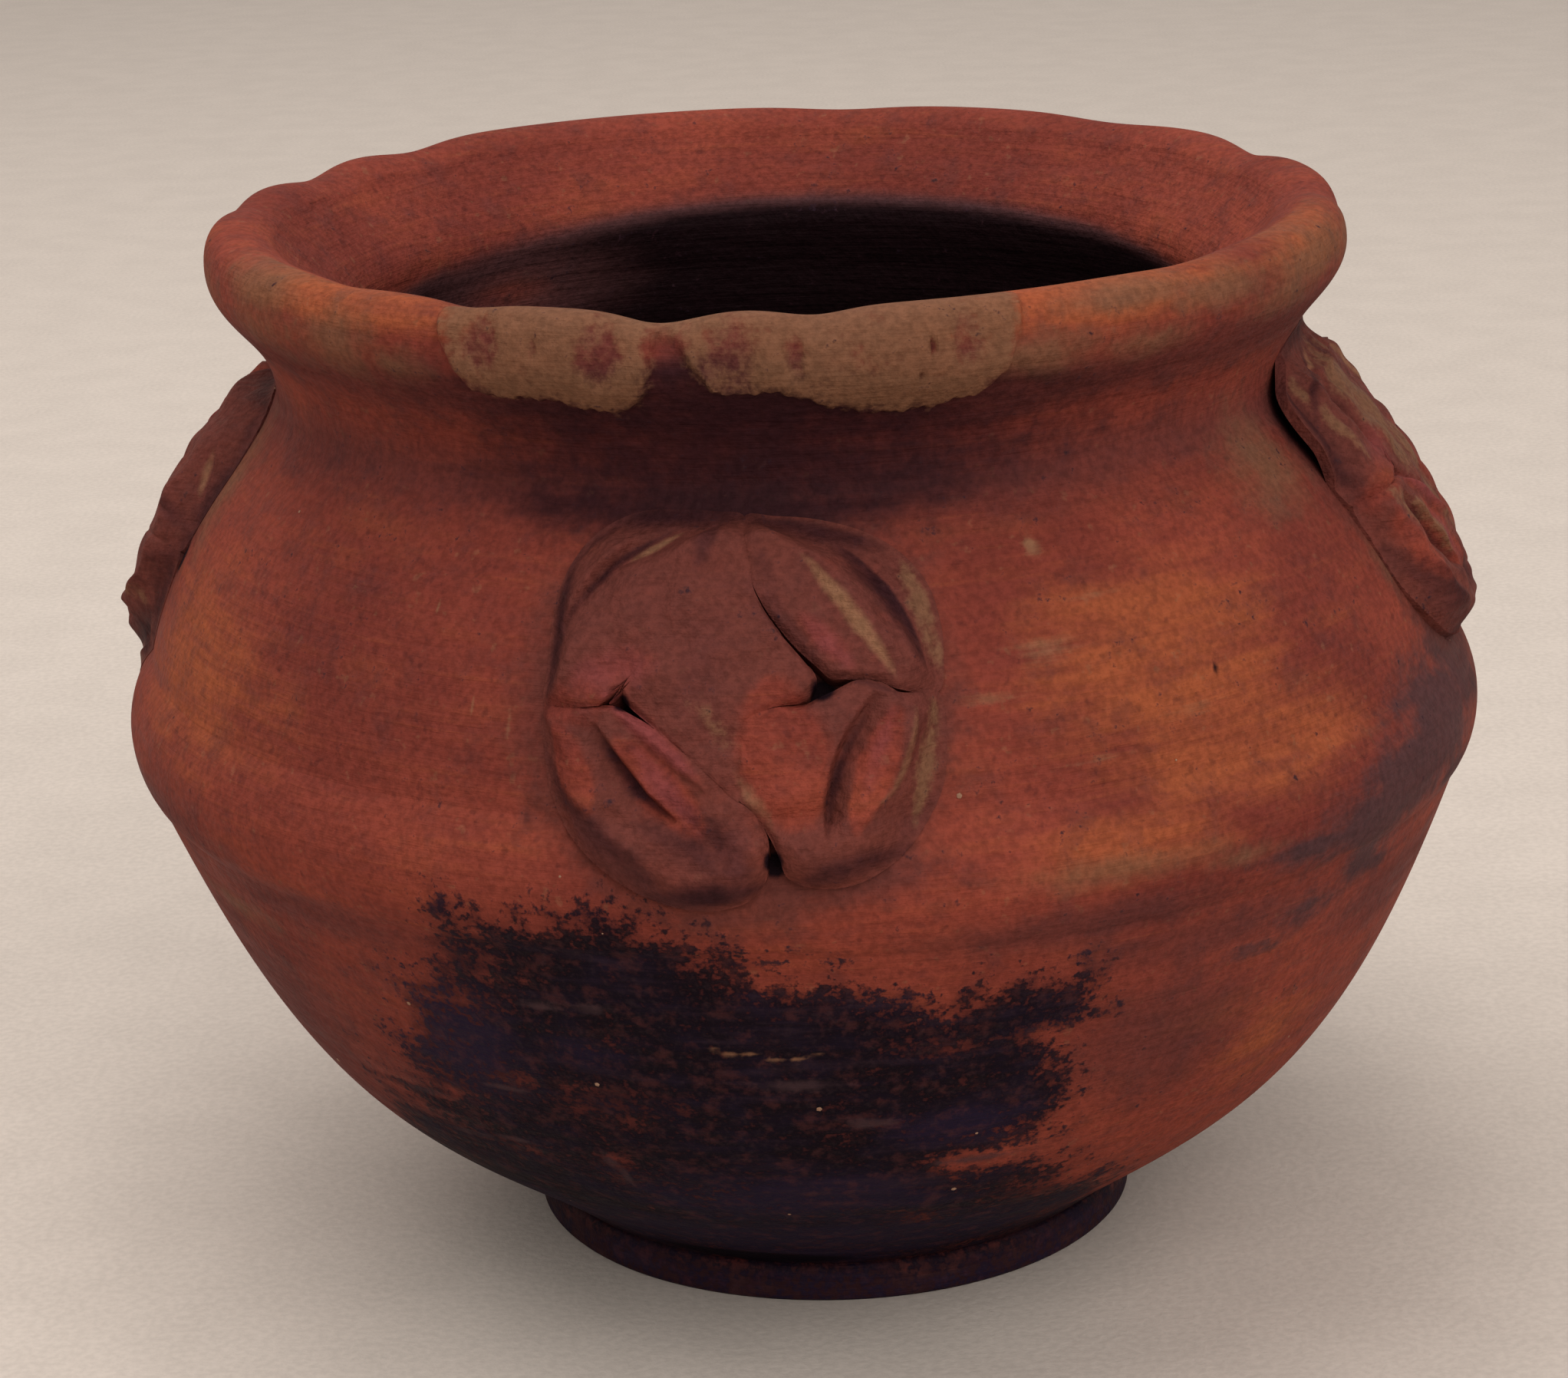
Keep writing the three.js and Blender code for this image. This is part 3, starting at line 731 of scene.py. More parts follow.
class BowlColours(bpy.types.PropertyGroup):
    clay: colour_property("Clay", "Fired red-brown slip of the wall", (134, 61, 47))
    clay_deep: colour_property("Deep clay", "Darker mottles of the slip", (108, 47, 39))
    # Orange also paints light on the left of the belly and low on its right
    orange: colour_property("Orange clay", "Hotter orange of the shoulder", (148, 76, 47))
    dust: colour_property("Dust", "Mauve dust round the rosettes", (94, 50, 44))
    rose: colour_property("Rosy clay", "Rosy dust on the tool's ridges", (122, 58, 57))
    # Grime and painted shade under the lip and on the rosettes; also dark specks and the stain round the soot
    shade: colour_property("Under-lip grime", "Dark grime under the lip", (38, 18, 24))
    smoke: colour_property("Smoke", "Grey-purple smoke marks", (66, 47, 50))
    # Soot is also painted as deep shade in the rosettes' holes and gaps and in the groove above the foot
    soot: colour_property("Soot", "Kiln soot on the belly and the foot", (13, 7, 16))
    # Purple bloom and painted sheen on the soot
    soot_bloom: colour_property("Soot bloom", "Purple bloom on the soot", (30, 22, 42))
    buff: colour_property("Buff clay", "Bare clay where the slip is worn off", (115, 79, 58))
    # Mauve also paints shade in the belly crease, under the lip and on the pellets' lower left sides
    mauve: colour_property("Mauve slip", "Slip in the facets and in patches of the wall", (86, 45, 43))
    # Pale wear, and painted highlights on the pellets' ridges
    pale: colour_property("Pale wear and highlights", "Pale worn edges, scratches and painted highlights", (134, 94, 69))
    # Soot and painted shade inside below the throat
    hollow: colour_property("Hollow", "Soot and painted shade inside below the throat", (26, 12, 15))
    grain: colour_property("Grain", "Temper grains", (150, 114, 90))
    floor: colour_property("Floor", "Pale cloth that the bowl stands on", (208, 195, 184))


def shell_mesh(name, rings, first_pole=None, last_pole=None, closed=False, attributes=None, sharp_angle=30.0):
    """A mesh through rings of points in millimetres, from pole to pole or back to its first ring."""
    count, steps = rings.shape[:2]
    points = [rings.reshape(-1, 3)]
    start = 0
    if first_pole is not None:
        points.insert(0, np.reshape(first_pole, (1, 3)))
        start = 1
    if last_pole is not None:
        points.append(np.reshape(last_pole, (1, 3)))
    grid = start + np.arange(count * steps).reshape(count, steps)
    low = grid if closed else grid[:-1]
    high = np.roll(grid, -1, axis=0) if closed else grid[1:]
    quads = np.stack((low, np.roll(low, -1, axis=1), np.roll(high, -1, axis=1), high), axis=-1)
    faces = quads.reshape(-1, 4).tolist()
    if first_pole is not None:
        faces += [(0, int(b), int(a)) for a, b in zip(grid[0], np.roll(grid[0], -1))]
    if last_pole is not None:
        last = start + count * steps
        faces += [(int(a), int(b), last) for a, b in zip(grid[-1], np.roll(grid[-1], -1))]
    mesh = bpy.data.meshes.new(name)
    mesh.from_pydata((np.vstack(points) * MM).tolist(), [], faces)
    mesh.shade_smooth()
    mesh.set_sharp_from_angle(angle=math.radians(sharp_angle))
    for key, values in (attributes or {}).items():
        layer = mesh.attributes.new(key, "FLOAT", "POINT")
        layer.data.foreach_set("value", np.ascontiguousarray(values, np.float32).ravel())
    return mesh


def outline_normals(outline, closed):
    """The outward direction at each point of an outline that climbs the outside."""
    ahead = np.roll(outline, -1, axis=0)
    behind = np.roll(outline, 1, axis=0)
    if not closed:
        ahead[-1] = outline[-1]
        behind[0] = outline[0]
    run = ahead - behind
    run /= np.maximum(np.hypot(run[:, 0], run[:, 1]), 1e-9)[:, None]
    return np.column_stack((run[:, 1], -run[:, 0]))


# The stretch of azimuths on the front whose points stand closer together, where the marks are
FRONT_START = -48.0
FRONT_END = 38.0

# How far inside the crest the lip's outside ends, and half the width over which the outside fades in
RIM_LINE_INSET = 1.6
RIM_LINE_BLEND = 1.2

# How far a finger press pushes the lip inwards, as a share of its depth
PRESS_INWARD = 0.6

# Points across a joint's face, across the underside of a disc, and across its top
JOINT_POINTS = 5
UNDER_POINTS = 24
TOP_POINTS = 16


def azimuths(front_step, back_step):
    """Azimuths round the bowl in degrees, with a smaller step on the front."""
    front = np.arange(FRONT_START, FRONT_END, front_step)
    back_count = round((360.0 + FRONT_START - FRONT_END) / back_step)
    back = np.linspace(FRONT_END, 360.0 + FRONT_START, back_count, endpoint=False)
    return np.concatenate((front, back))


def rosette_marks(azimuth, height):
    """The dust round the rosettes and the deep shade in and beside them, at a place on the wall."""
    dust = np.full(np.broadcast(azimuth, height).shape, -1.0)
    crevice = np.zeros(dust.shape)
    for rosette in ROSETTES:
        across, up = rosette_plane(rosette, azimuth, height)
        dust = np.maximum(dust, 1.0 - np.hypot(across, up) / DUST_REACH)
        crevice = np.maximum(crevice, hole_depth(across, up))
        for spot_x, spot_y, half_width, half_height in rosette["gaps"]:
            spot = 1.0 - np.hypot((across - spot_x) / half_width, (up - spot_y) / half_height)
            crevice = np.maximum(crevice, spot)
    return dust, crevice


def neck_grime_and_shade(azimuth, height):
    """The strength of the grime and painted shadow under the lip."""
    line = np.array(UNDER_LIP_GRIME_AND_SHADE)
    around = turn_between(azimuth, 0.0)
    low, high, strength = (np.interp(around, line[:, 0], line[:, column]) for column in (1, 2, 3))
    fade = 1.0 - smoothstep(height, high - 1.5, high + 3.0)
    return strength * smoothstep(height, low - 3.5, low + 3.5) * fade


def wall_marks(azimuth, radius, height):
    """The marks that a place on the wall shows, each from 0 or -1 to 1."""
    middle = (radius_at(OUTSIDE, height) + radius_at(INSIDE, height)) / 2
    rim_line = np.where(height > LIP_HEIGHT, CREST_RADIUS - RIM_LINE_INSET, middle)
    outer = smoothstep(radius, rim_line - RIM_LINE_BLEND, rim_line + RIM_LINE_BLEND)
    shown = outer > 0.5
    soot = np.clip(edge_depth(azimuth, height, SOOT_EDGE) / SOOT_FRINGE, -1.0, SOOT_MOST)
    soot = np.maximum(soot, blotch(azimuth, height, SOOT_BACK))
    worn_depth, facets = lip_relief(azimuth, height)
    dust, crevice = rosette_marks(azimuth, height)
    hollow_edge = HOLLOW_HEIGHT - HOLLOW_SAG * (turn_between(azimuth, HOLLOW_AZIMUTH) / HOLLOW_WIDTH) ** 2
    hollow = 1.0 - smoothstep(height, hollow_edge - HOLLOW_BLEND, hollow_edge + HOLLOW_BLEND)
    lit = np.maximum(blotch(azimuth, height, HOLLOW_LIT), 0.0)
    marks = {
        "soot": np.where(shown, soot, -1.0),
        "thin": np.maximum(blotch(azimuth, height, SOOT_THIN), 0.0),
        # Purple bloom and painted sheen on the soot
        "bloom": np.maximum(blotch(azimuth, height, SOOT_BLOOM_AND_SHEEN), 0.0),
        # Orange clay and painted light
        "warm_and_lit": np.maximum(blotch(azimuth, height, WARM_AND_LIT), 0.0) * outer,
        "dust": np.where(shown, dust, -1.0),
        # Painted deep shade in and beside the rosettes and in the groove above the foot, and dark nicks
        "crevice": np.maximum(crevice, blotch(azimuth, height, NICKS)) * outer,
        # Grime and painted shadow under the lip
        "grime": neck_grime_and_shade(azimuth, height) * outer,
        "buff": np.maximum(np.clip(0.4 + worn_depth / 4.0, 0.0, 0.95) - 0.5 * facets, 0.0) * outer,
        "facet": facets * outer,
        # Soot and painted shade inside below the throat, lifted where light falls in
        "hollow": (1.0 - outer) * hollow * (1.0 - 0.8 * lit),
    }
    for key, spots in OUTSIDE_MARKS.items():
        marks[key] = np.where(shown, blotch(azimuth, height, spots), -1.0)
    return marks


def turned_mesh(name, outline, angles, sizes, closed):
    """A ring or a disc turned from an outline, with the lip's worn clay and finger presses on it."""
    normals = outline_normals(outline, closed)
    azimuth = angles[None, :]
    base_radius = outline[:, 0][:, None]
    base_height = outline[:, 1][:, None]
    worn_depth, facets = lip_relief(azimuth, base_height)
    facing_out = smoothstep(base_radius, CREST_RADIUS - 0.5, CREST_RADIUS + 3.2)
    facing_out = np.maximum(facing_out, (base_height < LIP_HEIGHT) * 1.0) * (base_radius > NECK_RADIUS)
    proud = smoothstep(worn_depth, -0.4, 0.6) * sizes.worn_height - facets * sizes.facet_depth
    proud = proud / MM * facing_out
    radius = base_radius + normals[:, 0][:, None] * proud
    height = base_height + normals[:, 1][:, None] * proud
    press = np.zeros(azimuth.shape)
    for middle, half_width, depth in RIM_PRESSES:
        press = press + depth * np.exp(-((turn_between(azimuth, middle) / half_width) ** 2))
    press = press * smoothstep(height, COLLAR_TOP, CREST_HEIGHT)
    radius = radius - PRESS_INWARD * press * smoothstep(radius, CREST_RADIUS - 1.0, CREST_RADIUS + 1.0)
    rings = around_axis(radius, np.radians(azimuth), height - press)
    marks = wall_marks(azimuth, base_radius + 0.0 * azimuth, base_height + 0.0 * azimuth)
    if closed:
        return shell_mesh(name, rings, closed=True, attributes=marks)
    poles = {}
    for key, values in marks.items():
        poles[key] = np.concatenate((values[0, :1], values[1:-1].ravel(), values[-1, :1]))
    return shell_mesh(name, rings[1:-1], rings[0, 0], rings[-1, 0], attributes=poles)


def joined(*rows):
    """Rows of points as one outline, without the points where one row ends on the next."""
    kept = [row[:-1] for row in rows[:-1]]
    return np.vstack((*kept, rows[-1]))


def wall_outline(low, high, step):
    outside = evenly(stretch(OUTSIDE, low, high), step)
    inside = evenly(stretch(INSIDE, low, high), step)[::-1]
    top = np.linspace(outside[-1], inside[0], JOINT_POINTS)
    bottom = np.linspace(inside[-1], outside[0], JOINT_POINTS)
    return joined(outside, top, inside, bottom)[:-1]


def lip_outline(step):
    outside = stretch(OUTSIDE, COLLAR_TOP, LIP_HEIGHT)
    inside = stretch(INSIDE, COLLAR_TOP, flare_top[1])[::-1]
    shown = evenly(joined(outside, LIP_ROLL, INNER_ROLL, inside), step)
    return joined(shown, np.linspace(shown[-1], shown[0], JOINT_POINTS))[:-1]


def foot_outline(step):
    low_edge = FOOT_ROUNDING / 2
    top_start = (FOOT_RADIUS, FOOT_TOP - FOOT_ROUNDING)
    top_end = (FOOT_RADIUS - FOOT_ROUNDING, FOOT_TOP)
    under = np.linspace((0.0, 0.0), (FOOT_RADIUS - low_edge, 0.0), UNDER_POINTS)
    bottom_edge = curve(under[-1], (FOOT_RADIUS, 0.0), (FOOT_RADIUS, low_edge))
    top_edge = curve(top_start, (FOOT_RADIUS, FOOT_TOP), top_end)
    edge = evenly(joined(bottom_edge, top_edge), step)
    return joined(under, edge, np.linspace(edge[-1], (0.0, FOOT_TOP), TOP_POINTS))


def base_outline(step):
    outside = evenly(stretch(OUTSIDE, FOOT_TOP, BASE_TOP), step)
    inside = evenly(stretch(INSIDE, FLOOR_TOP, BASE_TOP), step)[::-1]
    under = np.linspace((0.0, FOOT_TOP), outside[0], UNDER_POINTS)
    top = np.linspace(outside[-1], inside[0], JOINT_POINTS)
    floor = np.linspace(inside[-1], (0.0, FLOOR_TOP), TOP_POINTS)
    return joined(under, outside, top, inside, floor)


def new_object(name, mesh):
    made = bpy.data.objects.new(name, mesh)
    bpy.context.scene.collection.objects.link(made)
    return made


def add_node(tree, kind, inputs=None, **settings):
    """Adds a node, with its settings, and its inputs as values or as links from other nodes' outputs."""
    node = tree.nodes.new(kind)
    for key, value in settings.items():
        setattr(node, key, value)
    for key, value in (inputs or {}).items():
        if isinstance(value, bpy.types.NodeSocket):
            tree.links.new(value, node.inputs[key])
        else:
            node.inputs[key].default_value = value
    return node


def value_of(tree, kind, inputs=None, **settings):
    """Adds a node and gives its first output."""
    return add_node(tree, kind, inputs, **settings).outputs[0]


def math_node(tree, operation, first, second):
    return value_of(tree, "ShaderNodeMath", {0: first, 1: second}, operation=operation)


def noise(tree, vector, scale, detail, roughness=0.55):
    inputs = {"Vector": vector, "Scale": scale, "Detail": detail, "Roughness": roughness}
    return value_of(tree, "ShaderNodeTexNoise", inputs)


def spread(tree, value, low, high, to_low=0.0, to_high=1.0):
    """Maps a value smoothly from one range on to another."""
    inputs = {"Value": value, "From Min": low, "From Max": high, "To Min": to_low, "To Max": to_high}
    return value_of(tree, "ShaderNodeMapRange", inputs, interpolation_type="SMOOTHSTEP")


def new_tree(name, floats, integers=()):
    """A geometry node tree for a geometry, numbers and a material, and the values given to it."""
    tree = bpy.data.node_groups.new(name, "GeometryNodeTree")
    tree.interface.new_socket("Geometry", in_out="INPUT", socket_type="NodeSocketGeometry")
    for kind, labels in (("Float", floats), ("Int", integers), ("Material", ("Material",))):
        for label in labels:
            tree.interface.new_socket(label, in_out="INPUT", socket_type=f"NodeSocket{kind}")
    tree.interface.new_socket("Geometry", in_out="OUTPUT", socket_type="NodeSocketGeometry")
    return tree, tree.nodes.new("NodeGroupInput").outputs


def finish_tree(tree, given, geometry):
    """Ends a tree in Realize Instances and Set Material."""
    realized = value_of(tree, "GeometryNodeRealizeInstances", {"Geometry": geometry})
    painted = value_of(tree, "GeometryNodeSetMaterial", {"Geometry": realized, "Material": given["Material"]})
    tree.links.new(painted, tree.nodes.new("NodeGroupOutput").inputs[0])
    return tree


def hand_shape_tree():
    """Leans a true turned form, drops its rim at the front and lets its wall stray from round."""
    tree, given = new_tree(
        "Hand shape",
        ("Lean", "Lean Height", "Rim Tilt", "Rim Start", "Rim Crest", "Wobble", "Wobble Size", "Seed"),
    )
    place = value_of(tree, "GeometryNodeInputPosition")
    x, y, z = add_node(tree, "ShaderNodeSeparateXYZ", {0: place}).outputs
    level_place = value_of(tree, "ShaderNodeCombineXYZ", {0: x, 1: y})
    outward = value_of(tree, "ShaderNodeVectorMath", {0: level_place}, operation="NORMALIZE")
    facing = add_node(tree, "ShaderNodeSeparateXYZ", {0: outward}).outputs[1]
    rim_share = spread(tree, z, given["Rim Start"], given["Rim Crest"])
    drop = math_node(tree, "MULTIPLY", given["Rim Tilt"], rim_share)
    lift = math_node(tree, "MULTIPLY", drop, facing)
    above = math_node(tree, "SUBTRACT", math_node(tree, "ADD", z, lift), given["Lean Height"])
    sideways = math_node(tree, "MULTIPLY", above, given["Lean"])
    shift = value_of(tree, "ShaderNodeCombineXYZ", {0: sideways, 2: lift})
    swells = {
        "Vector": place,
        "W": given["Seed"],
        "Scale": math_node(tree, "DIVIDE", 1.0, given["Wobble Size"]),
        "Detail": 1.0,
    }
    wobble = value_of(tree, "ShaderNodeTexNoise", swells, noise_dimensions="4D")
    stray = math_node(tree, "MULTIPLY", math_node(tree, "SUBTRACT", wobble, 0.5), given["Wobble"])
    strayed = value_of(tree, "ShaderNodeVectorMath", {0: outward, "Scale": stray}, operation="SCALE")
    offset = value_of(tree, "ShaderNodeVectorMath", {0: shift, 1: strayed}, operation="ADD")
    moved = value_of(tree, "GeometryNodeSetPosition", {"Geometry": given["Geometry"], "Offset": offset})
    return finish_tree(tree, given, moved)


# The least size of a grain as a share of the largest, and a grain's thickness as a share of its width
GRAIN_LEAST = 0.3
GRAIN_FLATNESS = 0.45


def temper_tree():
    """Scatters small flattened grains over the outside of the wall, half sunk in it."""
    tree, given = new_tree("Temper grains", ("Density", "Largest Size"), ("Seed",))
    surface = {"Mesh": given["Geometry"], "Density": given["Density"], "Seed": given["Seed"]}
    scatter = add_node(tree, "GeometryNodeDistributePointsOnFaces", surface).outputs
    grain = value_of(tree, "GeometryNodeMeshIcoSphere", {"Radius": 0.5, "Subdivisions": 1})
    shares = {2: GRAIN_LEAST, 3: 1.0, "Seed": given["Seed"]}
    share = add_node(tree, "FunctionNodeRandomValue", shares, data_type="FLOAT").outputs[1]
    width = math_node(tree, "MULTIPLY", share, given["Largest Size"])
    thickness = math_node(tree, "MULTIPLY", width, GRAIN_FLATNESS)
    placing = {
        "Points": scatter["Points"],
        "Instance": grain,
        "Rotation": scatter["Rotation"],
        "Scale": value_of(tree, "ShaderNodeCombineXYZ", {0: width, 1: width, 2: thickness}),
    }
    return finish_tree(tree, given, value_of(tree, "GeometryNodeInstanceOnPoints", placing))


def run_trees(made, steps):
    """Runs node trees on an object, leaves their result as its plain mesh and removes them."""
    for tree, values in steps:
        modifier = made.modifiers.new(tree.name, "NODES")
        modifier.node_group = tree
        for socket in tree.interface.items_tree:
            if socket.in_out == "INPUT" and socket.name in values:
                modifier[socket.identifier] = values[socket.name]
    bpy.context.view_layer.update()
    evaluated = made.evaluated_get(bpy.context.evaluated_depsgraph_get())
    finished = bpy.data.meshes.new_from_object(evaluated)
    finished.name = made.name
    made.modifiers.clear()
    made.data = finished


def hand_values(sizes, material):
    return {
        "Lean": sizes.lean,
        "Lean Height": sizes.lean_height,
        "Rim Tilt": sizes.rim_tilt,
        "Rim Start": COLLAR_TOP * MM,
        "Rim Crest": CREST_HEIGHT * MM,
        "Wobble": sizes.wobble,
        "Wobble Size": sizes.wobble_size,
        "Seed": float(sizes.hand_seed),
        "Material": material,
    }


def tree_named(name, build):
    return bpy.data.node_groups.get(name) or build()


# Materials


def tint(tree, share, under, over, blend="MIX"):
    node = add_node(tree, "ShaderNodeMix", {0: share, 6: under, 7: over}, data_type="RGBA", blend_type=blend)
    return node.outputs[2]


def mark(tree, name):
    return add_node(tree, "ShaderNodeAttribute", attribute_name=name).outputs["Fac"]


def ragged(tree, depth, noises, pushes):
    """A mark's depth, pushed in and out by some of the given noises, each with how far it pushes."""
    for key, push in pushes.items():
        shifted = math_node(tree, "SUBTRACT", noises[key], 0.5)
        depth = math_node(tree, "ADD", depth, math_node(tree, "MULTIPLY", shifted, push))
    return depth


def scaled(tree, coordinates, scale):
    return value_of(tree, "ShaderNodeMapping", {"Vector": coordinates, "Scale": scale})


def opaque(colour):
    return (*colour, 1.0)


def grey(tree, tone):
    return value_of(tree, "ShaderNodeCombineColor", {0: tone, 1: tone, 2: tone})


def new_material(name):
    """A new material, its node tree and the place on the object that it colours."""
    material = bpy.data.materials.new(name)
    material.use_nodes = True
    return material, material.node_tree, add_node(material.node_tree, "ShaderNodeTexCoord").outputs["Object"]


def finish_shader(tree, colour, height, distance, strength):
    """Gives a material's shader its colour and its fine relief."""
    shader = tree.nodes["Principled BSDF"]
    tree.links.new(colour, shader.inputs["Base Color"])
    bump = value_of(tree, "ShaderNodeBump", {"Height": height, "Distance": distance, "Strength": strength})
    tree.links.new(bump, shader.inputs["Normal"])
    return shader


# Mottles of the slip and the soot: noise, its two values, how much shows at each of them, and colour
SLIP_MOTTLES = (
    ("burnish", 0.3, 0.62, 0.42, 0.0, "clay_deep"),
    ("fine_burnish", 0.52, 0.8, 0.0, 0.3, "orange"),
    ("patchy", 0.48, 0.72, 0.0, 0.45, "mauve"),
    ("dots", 0.28, 0.38, 0.25, 0.0, "shade"),
    ("dots", 0.64, 0.74, 0.0, 0.25, "pale"),
)
SOOT_MOTTLES = (
    ("flecks", 0.48, 0.7, 0.0, 0.4, "mauve"),
    ("burnish", 0.52, 0.72, 0.0, 0.2, "smoke"),
    ("speckle", 0.5, 0.72, 0.0, 0.2, "smoke"),
)

# Layers of marks: mark, noises that roughen it, depths at which it starts and is full, most cover and colour
# Orange clay and painted light
WARM_AND_LIT_LAYER = (("warm_and_lit", {"cloudy": 0.7, "burnish": 0.8, "patchy": 0.3}, -0.05, 0.75, 1.0, "orange"),)
SLIP_LAYERS = (
    ("streak", {"fine_burnish": 1.4, "flecks": 0.9}, 0.1, 0.9, 0.6, "pale"),
    # Mauve slip, and painted shade in the belly crease, under the lip and low on the belly
    ("mauve_and_shade", {"burnish": 0.9, "patchy": 0.6, "flecks": 0.3}, -0.1, 0.8, 0.7, "mauve"),
    ("smoke", {"cloudy": 0.9, "burnish": 1.1, "patchy": 0.5, "flecks": 0.6}, -0.15, 0.6, 0.85, "smoke"),
    ("dust", {"cloudy": 0.3, "patchy": 0.2, "flecks": 0.25}, -0.02, 0.24, 0.8, "dust"),
    ("rose", {"patchy": 0.6, "flecks": 0.6}, 0.1, 0.95, 0.9, "rose"),
    ("tinge", {"cloudy": 0.9, "patchy": 0.8, "flecks": 0.5}, -0.1, 0.9, 0.72, "buff"),
    # Grime and painted shade under the lip and on the rosettes
    ("grime", {"burnish": 0.5, "patchy": 0.4, "flecks": 0.4}, 0.1, 1.05, 0.9, "shade"),
    ("facet", {"patchy": 0.5, "flecks": 0.6}, 0.05, 0.9, 0.6, "mauve"),
    ("buff", {"cloudy": 0.6, "patchy": 0.9, "flecks": 1.0, "speckle": 0.7}, 0.25, 0.85, 0.88, "buff"),
    # Painted highlights on the pellets' ridges
    ("pale", {"patchy": 0.5, "flecks": 0.8}, 0.15, 1.0, 0.9, "pale"),
    # Soot and painted shade inside below the throat
    ("hollow", {"burnish": 0.25}, 0.0, 0.5, 0.8, "smoke"),
    ("hollow", {"burnish": 0.25}, 0.3, 0.85, 1.0, "hollow"),
)
TOP_LAYERS = (
    ("scuff", {"flecks": 1.6, "burnish": 1.0}, -0.1, 0.8, 0.75, "smoke"),
    ("scratch", {"flecks": 1.0}, 0.0, 0.7, 0.7, "pale"),
    # Painted deep shade in holes, gaps and the groove above the foot, and dark nicks
    ("crevice", {"flecks": 0.2}, 0.15, 0.5, 0.95, "soot"),
)


def clay_material(name, colours, roughness, grit):
    """Fired clay with its slip, burnish, dust, smoke and soot, and painted light, shade and sheen."""
    material, tree, place = new_material(name)
    flat_place = scaled(tree, place, (1.0, 1.0, 9.0))
    long_place = scaled(tree, place, (1.0, 1.0, 22.0))
    noises = {
        "broad": noise(tree, place, 22.0, 3.0),
        "cloudy": noise(tree, place, 90.0, 5.0, 0.6),
        "patchy": noise(tree, place, 230.0, 4.0, 0.6),
        "burnish": noise(tree, flat_place, 55.0, 5.0, 0.6),
        "fine_burnish": noise(tree, long_place, 60.0, 4.0, 0.65),
        "speckle": noise(tree, place, 1100.0, 3.0, 0.6),
        "flecks": noise(tree, place, 420.0, 4.0, 0.65),
        "dots": noise(tree, place, 640.0, 2.0),
    }
    paints = {key: opaque(getattr(colours, key)) for key in colours.__annotations__}

    def mottled(under, mottles):
        for key, low, high, at_low, at_high, paint in mottles:
            under = tint(tree, spread(tree, noises[key], low, high, at_low, at_high), under, paints[paint])
        return under

    def marked(under, layers):
        for key, pushes, low, high, most, paint in layers:
            depth = ragged(tree, mark(tree, key), noises, pushes)
            under = tint(tree, spread(tree, depth, low, high, 0.0, most), under, paints[paint])
        return under

    def soot_depth(thinning, pushes):
        thinned = math_node(tree, "MULTIPLY", mark(tree, "thin"), thinning)
        return ragged(tree, math_node(tree, "SUBTRACT", mark(tree, "soot"), thinned), noises, pushes)

    colour = tint(tree, spread(tree, noises["broad"], 0.35, 0.65), paints["clay_deep"], paints["clay"])
    colour = marked(mottled(marked(colour, WARM_AND_LIT_LAYER), SLIP_MOTTLES), SLIP_LAYERS)
    tone = grey(tree, spread(tree, noises["speckle"], 0.3, 0.7, 0.82, 1.16))
    colour = tint(tree, 1.0, colour, tone, "MULTIPLY")

    stained = soot_depth(0.4, {"cloudy": 1.0, "burnish": 1.0, "patchy": 1.0, "flecks": 0.8})
    colour = tint(tree, spread(tree, stained, -0.45, 0.55, 0.0, 0.8), colour, paints["shade"])
    # Bloom and painted sheen on the soot
    bloom_and_sheen_depth = ragged(tree, mark(tree, "bloom"), noises, {"cloudy": 0.8, "burnish": 1.2, "patchy": 0.8})
    soot = tint(tree, spread(tree, bloom_and_sheen_depth, -0.2, 0.8), paints["soot"], paints["soot_bloom"])
    sooty = soot_depth(1.0, {"cloudy": 0.8, "burnish": 1.2, "patchy": 1.4, "flecks": 2.2, "speckle": 3.6})
    colour = tint(tree, spread(tree, sooty, -0.45, 0.35, 0.0, 0.97), colour, mottled(soot, SOOT_MOTTLES))
    colour = marked(colour, TOP_LAYERS)

    relief = math_node(tree, "MULTIPLY", noises["speckle"], 0.3 * grit)
    heights = {"flecks": 0.3 * grit, "patchy": 0.9 * grit, "cloudy": 0.8, "burnish": 0.7, "fine_burnish": 0.5}
    for key, height in heights.items():
        relief = math_node(tree, "ADD", relief, math_node(tree, "MULTIPLY", noises[key], height))
    shader = finish_shader(tree, colour, relief, 0.0005, 0.9)
    sheen = spread(tree, noises["burnish"], 0.3, 0.7, roughness - 0.08, roughness + 0.1)
    tree.links.new(sheen, shader.inputs["Roughness"])
    shader.inputs["Specular IOR Level"].default_value = 0.05
    return material


def grain_material(name, colours):
    """Pale mineral grains."""
    material, tree, place = new_material(name)
    tones = noise(tree, place, 260.0, 2.0)
    colour = tint(tree, spread(tree, tones, 0.4, 0.6), opaque(colours.grain), opaque(colours.pale))
    shader = finish_shader(tree, colour, noise(tree, place, 5000.0, 2.0), 0.0001, 1.0)
    shader.inputs["Roughness"].default_value = 0.6
    return material


def floor_material(name, colours):
    """Pale felted cloth."""
    material, tree, place = new_material(name)
    fuzz = noise(tree, place, 900.0, 3.0)
    mottle = spread(tree, noise(tree, place, 60.0, 4.0), 0.3, 0.7, 0.95, 1.0)
    shade = math_node(tree, "ADD", mottle, spread(tree, fuzz, 0.3, 0.7, -0.05, 0.05))
    colour = tint(tree, 1.0, opaque(colours.floor), grey(tree, shade), "MULTIPLY")
    shader = finish_shader(tree, colour, fuzz, 0.0002, 0.5)
    shader.inputs["Roughness"].default_value = 0.95
    shader.inputs["Specular IOR Level"].default_value = 0.1
    return material


